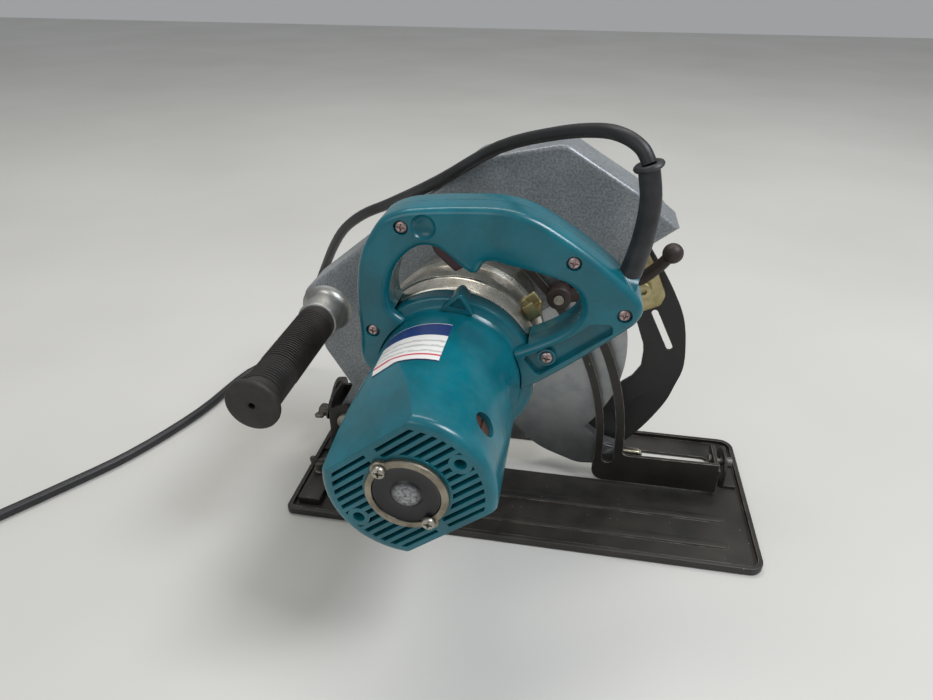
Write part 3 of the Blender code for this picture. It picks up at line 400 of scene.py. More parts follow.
def remap(tree, source, low, high, start=0.0, end=1.0):
    # from the span start to end on to the span low to high
    inputs = {"Value": source, "From Min": start, "From Max": end, "To Min": low, "To Max": high}
    return addNode(tree, "MapRange", inputs).outputs["Result"]


def combined(tree, operation, first, second):
    return addNode(tree, "Math", {0: first, 1: second}, operation=operation).outputs[0]


def mixed(tree, share, first, second, blend="MIX"):
    return addNode(tree, "Mix", {0: share, 6: first, 7: second}, data_type="RGBA",
                   blend_type=blend).outputs[2]


def relief(tree, shader, height, strength, distance, soft=0.0):
    # fine bumps, and edges softened over this radius in metres
    bump = addNode(tree, "Bump", {"Strength": strength, "Distance": distance, "Height": height})
    if soft:
        bump = addNode(tree, "Bevel", {"Radius": soft, "Normal": bump.outputs["Normal"]}, samples=4)
    tree.links.new(bump.outputs["Normal"], shader.inputs["Normal"])


def plainFloor(colour):
    material, tree, shader, place = newMaterial("paintedBoard")
    tone = ramp(tree, noise(tree, place, 1 / 2.2, 3.0), [(0.3, "C9C8C2"), (0.7, colour)])
    feed(tree, shader, {"Base Color": tone, "Roughness": 0.5})
    return material


def mouldedNylon(name, colour, shadeColour, dustColour, rough=0.3, dust=0.35):
    # glass-filled nylon, moulded: glossy skin with a faint ripple, fine scuffs and dust in soft patches
    look = {"ripple": 0.006, "patch": 0.035, "scuff": 0.002, "dustCloud": 0.05, "duller": 0.25,
            "edge": 0.0007}
    material, tree, shader, place = newMaterial(name)
    tone = ramp(tree, noise(tree, place, look["patch"], 5.0, 0.6), [(0.35, shadeColour), (0.62, colour)])
    along = stretched(tree, place, (1, 0.08, 1), (0.4, 0.9, 0.2))
    scuffs = ramp(tree, noise(tree, along, look["scuff"]), [(0.66, 0), (0.76, 1)])
    dusty = ramp(tree, noise(tree, place, look["dustCloud"], 6.0, 0.7), [(0.5, 0), (0.85, dust)])
    total = combined(tree, "MAXIMUM", combined(tree, "MULTIPLY", scuffs, dusty), dusty)
    feed(tree, shader, {"Base Color": mixed(tree, total, tone, dustColour), "IOR": 1.53,
                        "Roughness": remap(tree, total, rough, rough + look["duller"])})
    relief(tree, shader, noise(tree, place, look["ripple"]), 0.08, 0.0004, look["edge"])
    return material


def hammeredPaint():
    # hammer-finish enamel on cast aluminium: grey with small round cells a little darker at their rims
    look = {"cell": 0.0017, "cloud": 0.03}
    material, tree, shader, place = newMaterial("hammeredEnamel")
    cells = noise(tree, place, look["cell"], 1.5)
    speckle = ramp(tree, cells, [(0.36, "7C8185"), (0.5, "8D9295"), (0.66, "9CA0A2")])
    shade = ramp(tree, noise(tree, place, look["cloud"], 3.0), [(0.3, "DCDDDD"), (0.7, "FFFFFF")])
    feed(tree, shader, {"Base Color": mixed(tree, 1.0, speckle, shade, "MULTIPLY"), "Metallic": 0.25,
                        "Roughness": 0.36})
    relief(tree, shader, cells, 0.35, 0.0003)
    return material


def bareMetal(name, colour, darkColour, rough, grain=(1, 1, 1), spot="5A4A32", spots=0.0, bumpy=0.1):
    # metal with a directional grain, faint stains and, where wanted, spots of rust or old grease
    look = {"grain": 0.0012, "stain": 0.018, "edge": 0.0004}
    material, tree, shader, place = newMaterial(name)
    lines = noise(tree, stretched(tree, place, grain), look["grain"], 3.0)
    stains = noise(tree, place, look["stain"], 6.0, 0.65)
    tone = ramp(tree, stains, [(0.34, darkColour), (0.6, colour)])
    spotted = ramp(tree, stains, [(0.6, 0), (0.72, spots)])
    feed(tree, shader, {"Base Color": mixed(tree, spotted, tone, spot), "Metallic": 1.0,
                        "Roughness": remap(tree, lines, rough - 0.06, rough + 0.16)})
    relief(tree, shader, lines, bumpy, 0.0002, look["edge"])
    return material


def paintedSteel(name, colour, wornColour, rustColour, wear=0.5, rough=0.4):
    # black stoved enamel on pressed steel: worn to bare metal on its edges, browned in patches
    look = {"edge": 0.0012, "rubbed": 0.012, "chips": 0.009, "dust": 0.06, "grit": 0.0015, "soft": 0.0006}
    material, tree, shader, place = newMaterial(name)
    edge = addNode(tree, "Bevel", {"Radius": look["edge"]}, samples=6)
    surface = addNode(tree, "NewGeometry")
    same = addNode(tree, "VectorMath", {0: edge.outputs["Normal"], 1: surface.outputs["Normal"]},
                   operation="DOT_PRODUCT")
    onEdge = remap(tree, same.outputs["Value"], 0.0, 1.0, 0.995, 0.90)
    rubbed = noise(tree, place, look["rubbed"], 7.0, 0.7)
    worn = combined(tree, "MULTIPLY", onEdge, remap(tree, rubbed, 0.0, 1.0, 0.62 - 0.3 * wear, 0.7))
    chips = addNode(tree, "TexVoronoi", {"Scale": 1 / look["chips"], "Vector": place}).outputs["Distance"]
    bare = combined(tree, "MAXIMUM", worn, ramp(tree, chips, [(0.035, wear), (0.06, 0)]))
    dusty = noise(tree, place, look["dust"], 5.0, 0.65)
    tone = ramp(tree, dusty, [(0.38, colour), (0.7, rustColour)])
    feed(tree, shader, {"Base Color": mixed(tree, bare, tone, wornColour),
                        "Metallic": combined(tree, "MULTIPLY", bare, 0.8),
                        "Roughness": remap(tree, dusty, rough - 0.05, rough + 0.25)})
    relief(tree, shader, noise(tree, place, look["grit"]), 0.12, 0.0003, look["soft"])
    return material


def agedRubber(name, colour, paleColour, rough=0.62, grain=0.0012):
    # vulcanised rubber: nearly black, greyed by dust, with a fine grain
    material, tree, shader, place = newMaterial(name)
    tone = ramp(tree, noise(tree, place, 0.02, 6.0, 0.7), [(0.35, colour), (0.75, paleColour)])
    feed(tree, shader, {"Base Color": tone, "Roughness": rough, "IOR": 1.52})
    relief(tree, shader, noise(tree, place, grain, 3.0), 0.25, 0.0002)
    return material


def scuffedCap():
    # black pressed cap, its middle rubbed to bright metal
    look = {"face": -0.183, "outer": 0.0085, "inner": 0.0055, "rub": 0.0022}
    material, tree, shader, place = newMaterial("rubbedCap")
    middle = Matrix.Translation(pivot) @ Matrix.Rotation(-math.radians(bodyTilt), 4, "Y") @ Vector(
        (motorAt[0] * mm, look["face"], motorAt[1] * mm))
    apart = addNode(tree, "VectorMath", {0: place, 1: middle}, operation="DISTANCE").outputs["Value"]
    patchy = remap(tree, noise(tree, place, look["rub"], 6.0, 0.7), 0.1, 1.0, 0.36, 0.6)
    bare = combined(tree, "MULTIPLY", remap(tree, apart, 0.0, 1.0, look["outer"], look["inner"]), patchy)
    feed(tree, shader, {"Base Color": mixed(tree, bare, "121214", "A9ABAD"), "Roughness": 0.34,
                        "Metallic": combined(tree, "MULTIPLY", bare, 0.9)})
    return material


def printedFoil():
    # printed polyester label: white ground, blue head band, thin grey rows, one red row; no lettering
    look = {"near": -0.123, "far": -0.078, "rowScale": 52.0, "smudge": 0.0016, "ground": "E6E4E0",
            "band": "22376F"}
    ground, band = look["ground"], look["band"]
    material, tree, shader, place = newMaterial("printedFoil")
    across = addNode(tree, "SeparateXYZ", {"Vector": place}).outputs["Y"]
    depth = remap(tree, across, 0.0, 1.0, look["near"], look["far"])
    bands = ramp(tree, depth, [(0.0, "1C2A4A"), (0.03, ground), (0.13, "C8485A"), (0.17, ground),
                               (0.66, ground),
                               (0.67, band), (0.97, band), (0.985, "DADADA")], "CONSTANT")
    rows = addNode(tree, "TexWave", {"Vector": place, "Scale": look["rowScale"]}, wave_type="BANDS",
                   bands_direction="Y").outputs["Fac"]
    broken = noise(tree, stretched(tree, place, (0.35, 1, 0.35)), look["smudge"], 1.0)
    cut = ramp(tree, combined(tree, "MULTIPLY", rows, broken), [(0.3, 0), (0.42, 0.45)])
    inRows = ramp(tree, depth, [(0.0, 0), (0.22, 1), (0.6, 0)], "CONSTANT")
    feed(tree, shader, {"Base Color": mixed(tree, combined(tree, "MULTIPLY", cut, inRows), bands, "6E7C74"),
                        "Roughness": 0.38, "IOR": 1.6})
    return material


paint = {
    "teal": mouldedNylon("tealNylon", "046A78", "035864", "7E9696", 0.24, 0.14),
    "case": hammeredPaint(),
    "gearAlloy": bareMetal("polishedAluminium", "CFCBC0", "A39E92", 0.24, (1, 6, 1), "6B5F45", 0.25),
    "zinc": bareMetal("zincPlatedSteel", "B9B6AC", "8B867A", 0.34, (1, 1, 1), "6A5B40", 0.5, 0.2),
    "guardZinc": bareMetal("brushedGuardSteel", "A7AAAA", "94989A", 0.38, (6, 1, 0.6), "6E6C66", 0.15, 0.05),
    "passivated": bareMetal("yellowPassivatedSteel", "B9AE86", "8C8056", 0.36, (1, 1, 1), "6F5A30", 0.35,
                            0.15),
    "steel": bareMetal("groundSteel", "A8A7A4", "8A8986", 0.3, (1, 8, 1), "6A5B45", 0.2),
    "blackSteel": paintedSteel("blackEnamelledSteel", "1A1917", "8E8A82", "2E2A24", 0.45),
    "blackBase": paintedSteel("blackEnamelledBase", "171614", "A39A8C", "34302A", 0.8, 0.36),
    "lever": paintedSteel("brownedSteel", "2A211E", "6E625A", "3A2C26", 0.3, 0.42),
    "gripRubber": agedRubber("gripRubber", "1D1A18", "37322D"),
    "cordRubber": agedRubber("cordRubber", "121314", "29292B", 0.46),
    "guardRubber": agedRubber("cordGuardRubber", "17181A", "36373A", 0.46),
    "trigger": mouldedNylon("maroonNylon", "3B1A20", "2A1216", "6A5A58", 0.4, 0.2),
    "blackNylon": mouldedNylon("blackNylon", "1B1B1D", "141416", "4A4A4A", 0.4, 0.2),
    "brush": mouldedNylon("brownPhenolic", "4A2A20", "3A2019", "7A675A", 0.45, 0.3),
    "label": printedFoil(),
    "copper": bareMetal("turnedCopper", "B8764C", "96603E", 0.3, (1, 8, 1)),
    "carbon": agedRubber("carbonBrush", "1A1A1C", "2C2C2E", 0.6),
    "castBoss": bareMetal("castAluminium", "B4B4B0", "94948F", 0.38, (1, 1, 1), "6A665A", 0.2, 0.25),
    "brightZinc": bareMetal("brightZinc", "D2CBB4", "A79F84", 0.26, (1, 1, 1), "7A6C48", 0.3, 0.1),
    "darkZinc": bareMetal("dulledSteel", "6E6B66", "4B4844", 0.42, (1, 1, 1), "3F3628", 0.6, 0.3),
    "worn": bareMetal("wornZincRing", "A39C8C", "6E675A", 0.34, (1, 1, 1), "4A3B26", 0.8, 0.4),
    "capSteel": scuffedCap(),
    "screw": bareMetal("chromatedScrew", "C9B3B0", "97807E", 0.32, (1, 1, 1), "6A4A44", 0.4, 0.2),
    "guideSteel": paintedSteel("blackGuideSteel", "1D1B19", "B4B0A6", "332D27", 0.9, 0.34),
    "knife": paintedSteel("blackedKnifeSteel", "1B1B1C", "77756F", "2A2827", 0.3, 0.42),
    "blade": bareMetal("bladeSteel", "A5A6A6", "7C7D7D", 0.28, (1, 1, 1), "5F5138", 0.3, 0.1),
}
print("materials made")
setStudio()
setCamera()
print("camera, floor and light set")


# Motor

def motorHousing():
    look = {"end": -180.0, "radius": 50.0, "flange": 59.0, "flatHalf": 35.5, "taper": 12.3, "vents": 13,
            "pitch": 5.2}
    u, v = motorAt
    end, radius, flange = look["end"], look["radius"], look["flange"]
    corner = [(radius - 5 + 5 * math.sin(a),
               end + 5 - 5 * math.cos(a)) for a in [math.radians(15 * i) for i in range(7)]]
    profile = ([(0, end)] + corner + [(radius, y) for y in (-168, -160, -146, -130, -110, -90,
                                                            -75)] + [(radius, -66), (radius + 0.6, -62),
                                                                     (radius + 2.2, -59.6),
                                                                     (radius + 5, -58.5),
               (flange - 1.6, -58.4), (flange - 0.4, -57.8), (flange, -56.8), (flange, -46.8),
               (flange - 0.4, -46), (0, -46)])
    housing = lathe("motorHousing", profile, (u, 0, v), "Y", 128)
    slope = math.tan(math.radians(look["taper"]))
    flats = []
    for distance, low in ((look["flatHalf"], end - 10), (look["flatHalf"] - 4, end - 10)):
        pair = []
        for side in (1, -1):
            near = v + side * (distance - slope * 10)
            far = v + side * (distance + slope * 119)
            outer = v + side * 95
            pair.append(flatPiece("flat", [[(low, near), (end + 119, far), (end + 119, outer),
                                            (low, outer)]],
                                  u - 80, u + 80, plane="X"))
        flats.append(pair)
    carve(housing, flats[0])
    roundOff(housing, 1.1, 3, 22)
    # three-cornered boss on the flange, with a sunk face
    outward, across = Vector((42, 41)).normalized(), Vector((-41, 42)).normalized()
    centre = Vector((u, v))

    def corner3(reach, side):
        spot = centre + outward * reach + across * side
        return (spot.x, spot.y)

    boss = flatPiece("boss", [rounded([(*corner3(66, 0), 3), (*corner3(50, 13), 2), (*corner3(50, -13), 2)],
                                      8)],
                     -63, -46, 1.4, rounds=4)
    sunk = flatPiece("sunk", [rounded([(*corner3(62.4, 0), 1.2), (*corner3(54, 6.4), 1.2),
                                       (*corner3(54, -6.4), 1.2)])],
                     -70, -60.5)
    weld(housing, boss)
    carve(housing, sunk)
    bore = barrel("bore", 45.4, end + 7, -40, (u, 0, v), "Y", 96)
    carve(bore, flats[1])
    seat = lathe("seat", [(9, end + 4), (22, end + 4), (22, end + 12), (9, end + 12)], (u, 0, v))
    carve(bore, seat)
    bearing = barrel("bearing", 11.3, end - 5, end + 14, (u, 0, v))
    brushHole = barrel("brushHole", 7.6, -60, 60, (u, -153, v), "X")
    carve(housing, [bore, bearing, brushHole])
    # slots parallel to the flats, broken by the cross rib and the two long screws' bosses
    slots = barrel("slots", 43.2, end - 2, end + 9, (u, 0, v), "Y", 96)
    bars = []
    for row in range(look["vents"] + 1):
        low = v - 35.1 + look["pitch"] * row
        bars.append(block("bar", (u - 60, end - 5, low), (u + 60, end + 15, low + 2.6)))
    bars += [block("low", (u - 60, end - 5, -40), (u + 60, end + 15, v - 32)),
             block("top", (u - 60, end - 5, v + 32), (u + 60, end + 15, 90)),
             barrel("hub", 25.5, end - 6, end + 16, (u, 0, v)),
             block("rib", (u - 4, end - 6, -40), (u + 4, end + 16, 90))]
    bars += [barrel("boss", 6.5, end - 6, end + 16, (u + side * 38, 0, v)) for side in (1, -1)]
    carve(slots, bars)
    carve(housing, slots)
    holes = [barrel("hole", 2.2, end - 5, end + 6, (174, 0, z), "Y", 24) for z in (46, 4)]
    holes += [lathe("hole", [(0, end - 2), (4.4, end - 2), (3.2, end + 0.8), (2.8, end + 12), (0, end + 12)],
                    (u + side * 38, 0, v), "Y", 32) for side in (1, -1)]
    carve(housing, holes)
    return finishPiece(housing, "saw_body", "teal", ["motor_housing"])


def motorLabel(housing):
    # thin printed sheet wrapped over the round of the housing and on to its flat
    look = {"near": -123.0, "far": -78.0, "from": 44.0, "to": 97.0, "radius": 51.0, "thick": 0.2,
            "cells": 28}
    pickNothing()
    bpy.ops.mesh.primitive_grid_add(x_subdivisions=look["cells"], y_subdivisions=look["cells"], size=1)
    label = bpy.context.object
    label.name = "motorLabel"
    for vertex in label.data.vertices:
        a = math.radians(look["from"] + (look["to"] - look["from"]) * (vertex.co.x + 0.5))
        y = look["near"] + (look["far"] - look["near"]) * (vertex.co.y + 0.5)
        vertex.co = (motorAt[0] * mm + look["radius"] * mm * math.cos(a), y * mm,
                     motorAt[1] * mm + look["radius"] * mm * math.sin(a))
    swingUp(label)
    wrap = label.modifiers.new("wrap", "SHRINKWRAP")
    wrap.target = housing
    wrap.wrap_method = "NEAREST_SURFACEPOINT"
    wrap.wrap_mode = "ABOVE_SURFACE"
    wrap.offset = 0.1 * mm
    sheet = label.modifiers.new("sheet", "SOLIDIFY")
    sheet.thickness = look["thick"] * mm
    sheet.offset = 0
    pick(label)
    bpy.ops.object.modifier_apply(modifier=wrap.name)
    bpy.ops.object.modifier_apply(modifier=sheet.name)
    closeUp(label)
    finishPiece(label, "saw_body", "label", swung=True)


def motorEnd():
    y = -180.3
    u, v = motorAt
    ring = lathe("retainerRing", [(19.6, y), (23.8, y), (23.8, y - 2.2), (23.2, y - 3), (22.2, y - 3.2),
                                  (20.4, y - 3.2),
                                  (19.8, y - 3), (19.6, y - 2.4)], (u, 0, v), "Y", 96)
    ears = [lathe("ear", [(0, y), (5.6, y), (5.6, y - 2.6), (5, y - 3.2), (0, y - 3.2)], (174, 0, z), "Y",
                  40)
            for z in (46, 4)]
    weld(ring, ears)
    carve(ring, [barrel("middle", 19.6, y - 6, y + 3, (u, 0, v), "Y", 96)]
          + [barrel("hole", 2.2, y - 6, y + 3, (174, 0, z), "Y", 24) for z in (46, 4)])
    finishPiece(ring, "saw_body", "worn", ["retainer_ring"])
    cap = lathe("bearingCap", [(0, y - 3.0), (4, y - 2.9), (7.4, y - 2.5), (8.6, y - 1.9), (9.4, y - 1.2),
                               (11, y - 1.0),
                               (17.2, y - 1.2), (18.4, y - 1.7), (19.2, y - 2), (19.2, y), (0, y)],
                (u, 0, v), "Y", 96)
    finishPiece(cap, "saw_body", "capSteel", ["bearing_cap"])
    for number, z in enumerate((46, 4), 1):
        screw = lathe(f"retainerScrew{number}", [(0, y - 6), (2.4, y - 5.9), (3.5, y - 5.5), (4, y - 4.7),
                                                 (4, y - 3.5),
                                                 (1.9, y - 3.5), (1.9, y + 6), (0, y + 6)], (174, 0, z),
                      "Y", 32)
        crossRecess(screw, (174, y - 6, z), 2.6)
        finishPiece(screw, "saw_body", "zinc", [f"retainer_screw_{number}"])
    for number, side in enumerate((1, -1), 1):
        low, high = sorted((side * 41.0, side * 46.6))
        edge = side * 46.6
        profile = [(0, low), (7, low), (7, high), (0, high)]
        cap = lathe(f"brushCap{number}", profile, (u, -153, v), "X", 48)
        carve(cap, block("slot", (u + edge - 1.6, -163, v - 0.9), (u + edge + 1.6, -143, v + 0.9)))
        roundOff(cap, 0.5, 2, 40)
        finishPiece(cap, "saw_body", "brush", [f"brush_cap_{number}"])


def crossRecess(screw, at, reach):
    # cross-head recess, sunk along +Y from the head's face
    u, y, v = at
    tools = []
    for turn in (45, 135):
        blade = block("blade", (-reach, -1, -0.45), (reach, 2.0, 0.45))
        blade.rotation_euler = (0, math.radians(turn), 0)
        blade.location = (u * mm, y * mm, v * mm)
        tools.append(settle(blade))
    cone = lathe("cone", [(0, y - 1), (1.5, y - 1), (1.1, y + 1.6), (0, y + 2.4)], (u, 0, v), "Y", 16)
    carve(screw, tools + [cone])


# Handle

handleLook = {
    "outline": [(130, 65), (146, 87), (163, 109), (184, 128), (205, 137), (214, 138.5), (227, 135),
                (241, 127),
                (260, 114), (279, 99), (291, 83), (300, 61), (306, 42), (311, 20), (313, 5), (311, -4),
                (304, -9),
                (294, -10.5), (210, -11), (180, 0), (150, 40)],
    "opening": [(178, 77), (176, 87), (180, 95), (187, 102), (199, 109), (212, 111.5), (222, 110),
                (230, 102),
                (236, 78), (240, 75.5), (249, 78), (260, 67), (274, 50), (283, 36), (284, 27), (279, 17),
                (270, 12.5), (256, 11.5), (229, 16), (205, 25), (178, 60)],
    "screws": [(220, 127), (294, 47), (300, 0), (155, 83), (241, 1)],
    "near": -65.0, "middle": -48.0, "far": -31.0, "gap": 0.15, "edge": 5.0,
    "guardAt": (0.306, -0.046, 0.0095), "guardTilt": 38}


def handleHalf(name, low, high, replaced):
    look = handleLook
    near, middle, far = look["near"], look["middle"], look["far"]
    outline = flowing(look["outline"], 5)
    opening = flowing(look["opening"][:-2], 5, closed=False) + look["opening"][-2:]
    half = flatPiece(name, [outline, opening], near, far, look["edge"], rounds=5)

    def atGuard(piece):
        piece.location, piece.rotation_euler = look["guardAt"], (0, -math.radians(look["guardTilt"]), 0)
        return settle(piece)

    collar = lathe("collar", [(0, -6), (11.6, -6), (11.6, 9.5), (11, 11.2), (10.2, 12), (0, 12)], (0, 0, 0),
                   "Z", 64)
    weld(half, atGuard(collar))
    tools = [atGuard(barrel("socket", 8.4, 2, 30, (0, 0, 0), "Z", 48)),
             barrel("round", 51, near - 10, -57, (motorAt[0], 0, motorAt[1]), "Y", 128),
             barrel("round", 61, -59, far + 10, (motorAt[0], 0, motorAt[1]), "Y", 128),
             flatPiece("pocket", [[(220, 122), (219, 100), (219, 70), (254, 70), (254, 84), (247, 112),
                                   (242, 122)]],
                       middle - 7.3, middle + 7.3),
             flatPiece("switchRoom", [[(250, 108), (268, 97), (286, 66), (271, 61), (252, 86)]],
                       middle - 10, middle + 10)]
    for u, v in look["screws"]:
        tools += [barrel("hole", 2.2, near - 2, -37, (u, 0, v), "Y", 24),
                  lathe("recess", [(0, near - 2), (5.3, near - 2), (4.7, near + 0.5), (4.6, near + 2.8),
                                   (0, near + 2.8)], (u, 0, v), "Y", 40)]
    tools.append(lathe("dimple", [(0, near - 1), (8.6, near - 1), (8.0, near + 0.3), (6.9, near + 2.0),
                                  (4.4, near + 3.2), (0, near + 3.6)], (232, 0, 119), "Y", 48))
    recess = flatPiece("channel", [rounded([(228, -6.8, 3), (287, -6.8, 3), (291, -1, 3), (280, 6.5, 4),
                                            (262, 6.0, 4),
                                            (228, 10.5, 3)], 6)], near - 3, near + 5)
    carve(recess, [barrel("post", 6.4, near + 2.2, near + 8, (241, 0, 1), "Y", 40)])
    tools.append(recess)
    tools += [block("beyond", (100, low - 60, -40), (350, low, 180)),
              block("beyond", (100, high, -40), (350, high + 60, 180))]
    carve(half, tools)
    finishPiece(half, "saw_body", "teal", [replaced])


def handlePieces():
    look = handleLook
    handleHalf("handleNear", look["near"] - 1, look["middle"] - look["gap"], "handle_near")
    handleHalf("handleFar", look["middle"] + look["gap"], look["far"] + 1, "handle_far")
    for number, (u, v) in enumerate(look["screws"], 1):
        tip = -46.3 if number == 4 else -38
        screw = lathe(f"handleScrew{number}", [(0, -64.6), (2.4, -64.5), (3.5, -64.1), (4.1, -63.4),
                                               (4.1, -62.5),
                                               (1.9, -62.5), (1.9, tip), (0, tip)], (u, 0, v), "Y", 32)
        crossRecess(screw, (u, -64.6, v), 2.6)
        finishPiece(screw, "saw_body", "screw", [f"handle_screw_{number}"])
    outline = rounded([(228, 119.5, 3), (237, 119.5, 3), (236, 100, 0), (236, 80, 3), (225, 82, 3),
                       (222.5, 100, 8)])
    trigger = flatPiece("triggerLever", [outline], look["middle"] - 6.9, look["middle"] + 6.9, 1.8, rounds=4)
    carve(trigger, barrel("hole", 2.1, look["middle"] - 10, look["middle"] + 10, (232, 0, 115), "Y", 24))
    finishPiece(trigger, "trigger", "trigger", ["trigger"])


# Blade case, gear housing, grip

def bladeCase():
    near, far, edge = 41.0, 86.0, 3.6
    u, v = bladeAt
    outline = rounded([(59, 121, 14), (255, 121, 24), (313, 91, 18), (335, 32, 30), (345, -9, 0),
                       (28, -9, 0),
                       (28, 12, 6), (37, 68, 20)], 12)
    hollow = rounded([(64, 117.4, 10), (253, 117.4, 22), (309, 89, 14), (331, 31, 26), (341, -30, 0),
                      (32, -30, 0), (32, 12, 6), (41, 68, 16)], 12)
    case = flatPiece("bladeCase", [outline], near, far, edge, rounds=5)
    carve(case, [flatPiece("inside", [hollow], near + 3.5, far - 3.5),
                 block("farEdge", (20, far - 6, -20), (360, far + 5, 2))])
    arm = arc((0, 0), 12, 80, 280, 24) + [(31, -8.5), (31, 26)]
    armPlate = flatPiece("arm", [arm, circle((0, 0), 5.3, 32)], 46.2, 78)
    gripBoss = lathe("gripBoss", [(0, 15.3), (15.6, 15.3), (16.6, 15.9), (17, 17), (17, 34), (17.6, 37.5),
                                  (19.4, 40),
                                  (22.5, 41.4), (22.5, 43), (0, 43)], (69, 0, 97), "Y", 96)
    hub = barrel("hub", 23.5, 34, 49.2, (u, 0, v), "Y", 96)
    carve(gripBoss, barrel("studHole", 4.4, 10, 38, (69, 0, 97), "Y", 24))
    finishPiece(gripBoss, "saw_body", "castBoss", ["blade_case"])
    weld(case, [armPlate, hub])
    carve(case, [barrel("seat", 17.8, 30, 44, (u, 0, v), "Y", 64), barrel("lip", 12, 30, 60, (u, 0, v), "Y",
                                                                          48),
                 barrel("boltHole", 4.4, 30, 50, (245, 0, 0), "Y", 24)])
    finishPiece(case, "saw_body", "case", ["blade_case"], smooth=28)


def gearHousing():
    u, v = motorAt
    profile = [(59, -45.7), (60, -45.2), (60.5, -44), (60.5, -31.6), (61, -30.4), (62, -29.6), (62, -21.6),
               (61, -20.6),
               (59.5, -19.8), (59.1, -12), (59.5, -4.4), (61, -3), (62, -2.2), (62, 5.4), (61.4, 6.6),
               (57.6, 8.6),
               (57, 9.6), (55, 40.7), (49, 40.7), (49, 2), (14.3, 2), (14.3, -10.6), (11, -10.6), (11, -14),
               (19, -14),
               (19, -6), (46, -6), (46, -45.7)]
    housing = lathe("gearHousing", profile, (u, 0, v), "Y", 160)
    weld(housing, barrel("nose", 31.5, 8, 40.7, (bladeAt[0], 0, bladeAt[1]), "Y", 96))
    carve(housing, [barrel("chamber", 29.8, 10, 50, (bladeAt[0], 0, bladeAt[1]), "Y", 96),
                    barrel("gearRoom", 48.7, 3, 50, (u, 0, v), "Y", 96),
                    block("lockSlot", (205, -30.3, 15.7), (260, -9.7, 28.3))])
    finishPiece(housing, "saw_body", "gearAlloy", ["gear_housing"], smooth=24)


def shaftLock():
    lock = block("shaftLock", (222, -30, 16), (245, -10, 28))
    carve(lock, block("notch", (236, -27, 19), (250, -13, 32)))
    roundOff(lock, 1.0, 3, 40)
    finishPiece(lock, "shaft_lock", "passivated", ["shaft_lock"])


def sideGrip():
    look = {"bore": 4.4, "crest": 15.5, "root": 13.8, "from": 8.0, "to": -92.0, "pitch": 2.6,
            "at": (69, 0, 97)}
    ribs = []
    count = int((look["from"] - look["to"]) / look["pitch"])
    for i in range(count):
        low = look["from"] - i * look["pitch"]
        crest = look["crest"] - (0.25 if i > count - 12 else 0)
        ribs += [(look["root"], low), (crest - 0.3, low - 0.3), (crest, low - 0.7), (crest - 0.3, low - 1.3),
                 (look["root"], low - 1.6)]
    profile = ([(4.4, 15), (15.0, 15), (15.5, 14.4), (15.5, 9.4)] + ribs
               + [(14.9, -93.5), (15.2, -96), (16.4, -99), (18.4, -101.4), (19.7, -102.8), (20, -104),
                  (19.8, -105.6),
                  (18.6, -106.7), (17, -107), (3.2, -107), (2.4, -106.4), (2.4, -92), (4.4, -92)])
    grip = lathe("sideGrip", profile, look["at"], "Y", 96)
    finishPiece(grip, "saw_body", "gripRubber", ["side_grip"], smooth=50)


# Lower guard and riving knife

def aroundBlade(points):
    return [(bladeAt[0] + u, bladeAt[1] + v) for u, v in points]


def lowerGuard():
    near, far, radius = 47.0, 77.0, 122.0
    lip = [(-27, -86), (-25, -109), (-20, -123), (-11, -139), (-4, -150), (7, -158), (31, -173), (42, -178),
           (48, -172), (48, -165), (35, -153), (29, -145), (25, -129), (24.5, -119.8)]
    smoothLip = flowing(lip[:7], 5, closed=False) + flowing(lip[7:], 5, closed=False)
    sweep = arc((0, 0), radius, -78.5, 80, 96)
    wall = flowing([(5, 62), (-30, 40), (-40, 5)], 6, closed=False) + smoothLip + sweep[1:]
    plate = flatPiece("lowerGuard", [aroundBlade(wall), circle(bladeAt, 23.8, 64)], near, near + 1.6)
    band = arc((0, 0), radius - 0.3, -98, 79, 110) + arc((0, 0), radius - 2, 79, -98, 110)
    rim = flatPiece("rim", [aroundBlade(band)], near + 0.5, far - 0.5)
    ring = arc((0, 0), radius, -97, 80, 96) + arc((0, 0), 62, 80, -97, 64)
    farWall = flatPiece("farWall", [aroundBlade(ring)], far - 1.6, far)
    hem = ([(41, -160.2), (34, -153.6), (27.8, -145.3), (24, -129), (23.5, -123.5)]
           + [(26, -123.5), (26.6, -129), (31, -144.4), (36.3, -151.8), (43.4, -158.4)])
    turnedLip = flatPiece("turnedLip", [aroundBlade(hem)], near + 0.5, near + 10)
    weld(plate, [rim, farWall, turnedLip])
    carve(plate, barrel("knobHole", 2.9, 40, 60, (201.5, 0, -178.5), "Y", 24))
    roundOff(plate, 0.5, 3, 50)
    finishPiece(plate, "guard", "guardZinc", ["lower_guard"])
    # bright looped end of the lip, with its finger slot
    along = Vector((0.76, -0.65))
    side = Vector((0.65, 0.76))
    middle = Vector((203.0, -173.0))

    def at(x, y):
        spot = middle + along * x + side * y
        return (spot.x, spot.y)

    loop = rounded([(*at(-11, -6.8), 4), (*at(9.5, -6.8), 5), (*at(9.5, 6.8), 5), (*at(-11, 6.8), 4)], 10)
    slot = rounded([(*at(-5, -2.1), 2), (*at(5.6, -2.1), 2), (*at(5.6, 2.1), 2), (*at(-5, 2.1), 2)], 8)
    knob = flatPiece("guardLipLoop", [loop, slot], 41.0, 46.8, 1.5, rounds=4)
    finishPiece(knob, "guard", "brightZinc", ["guard_knob"])


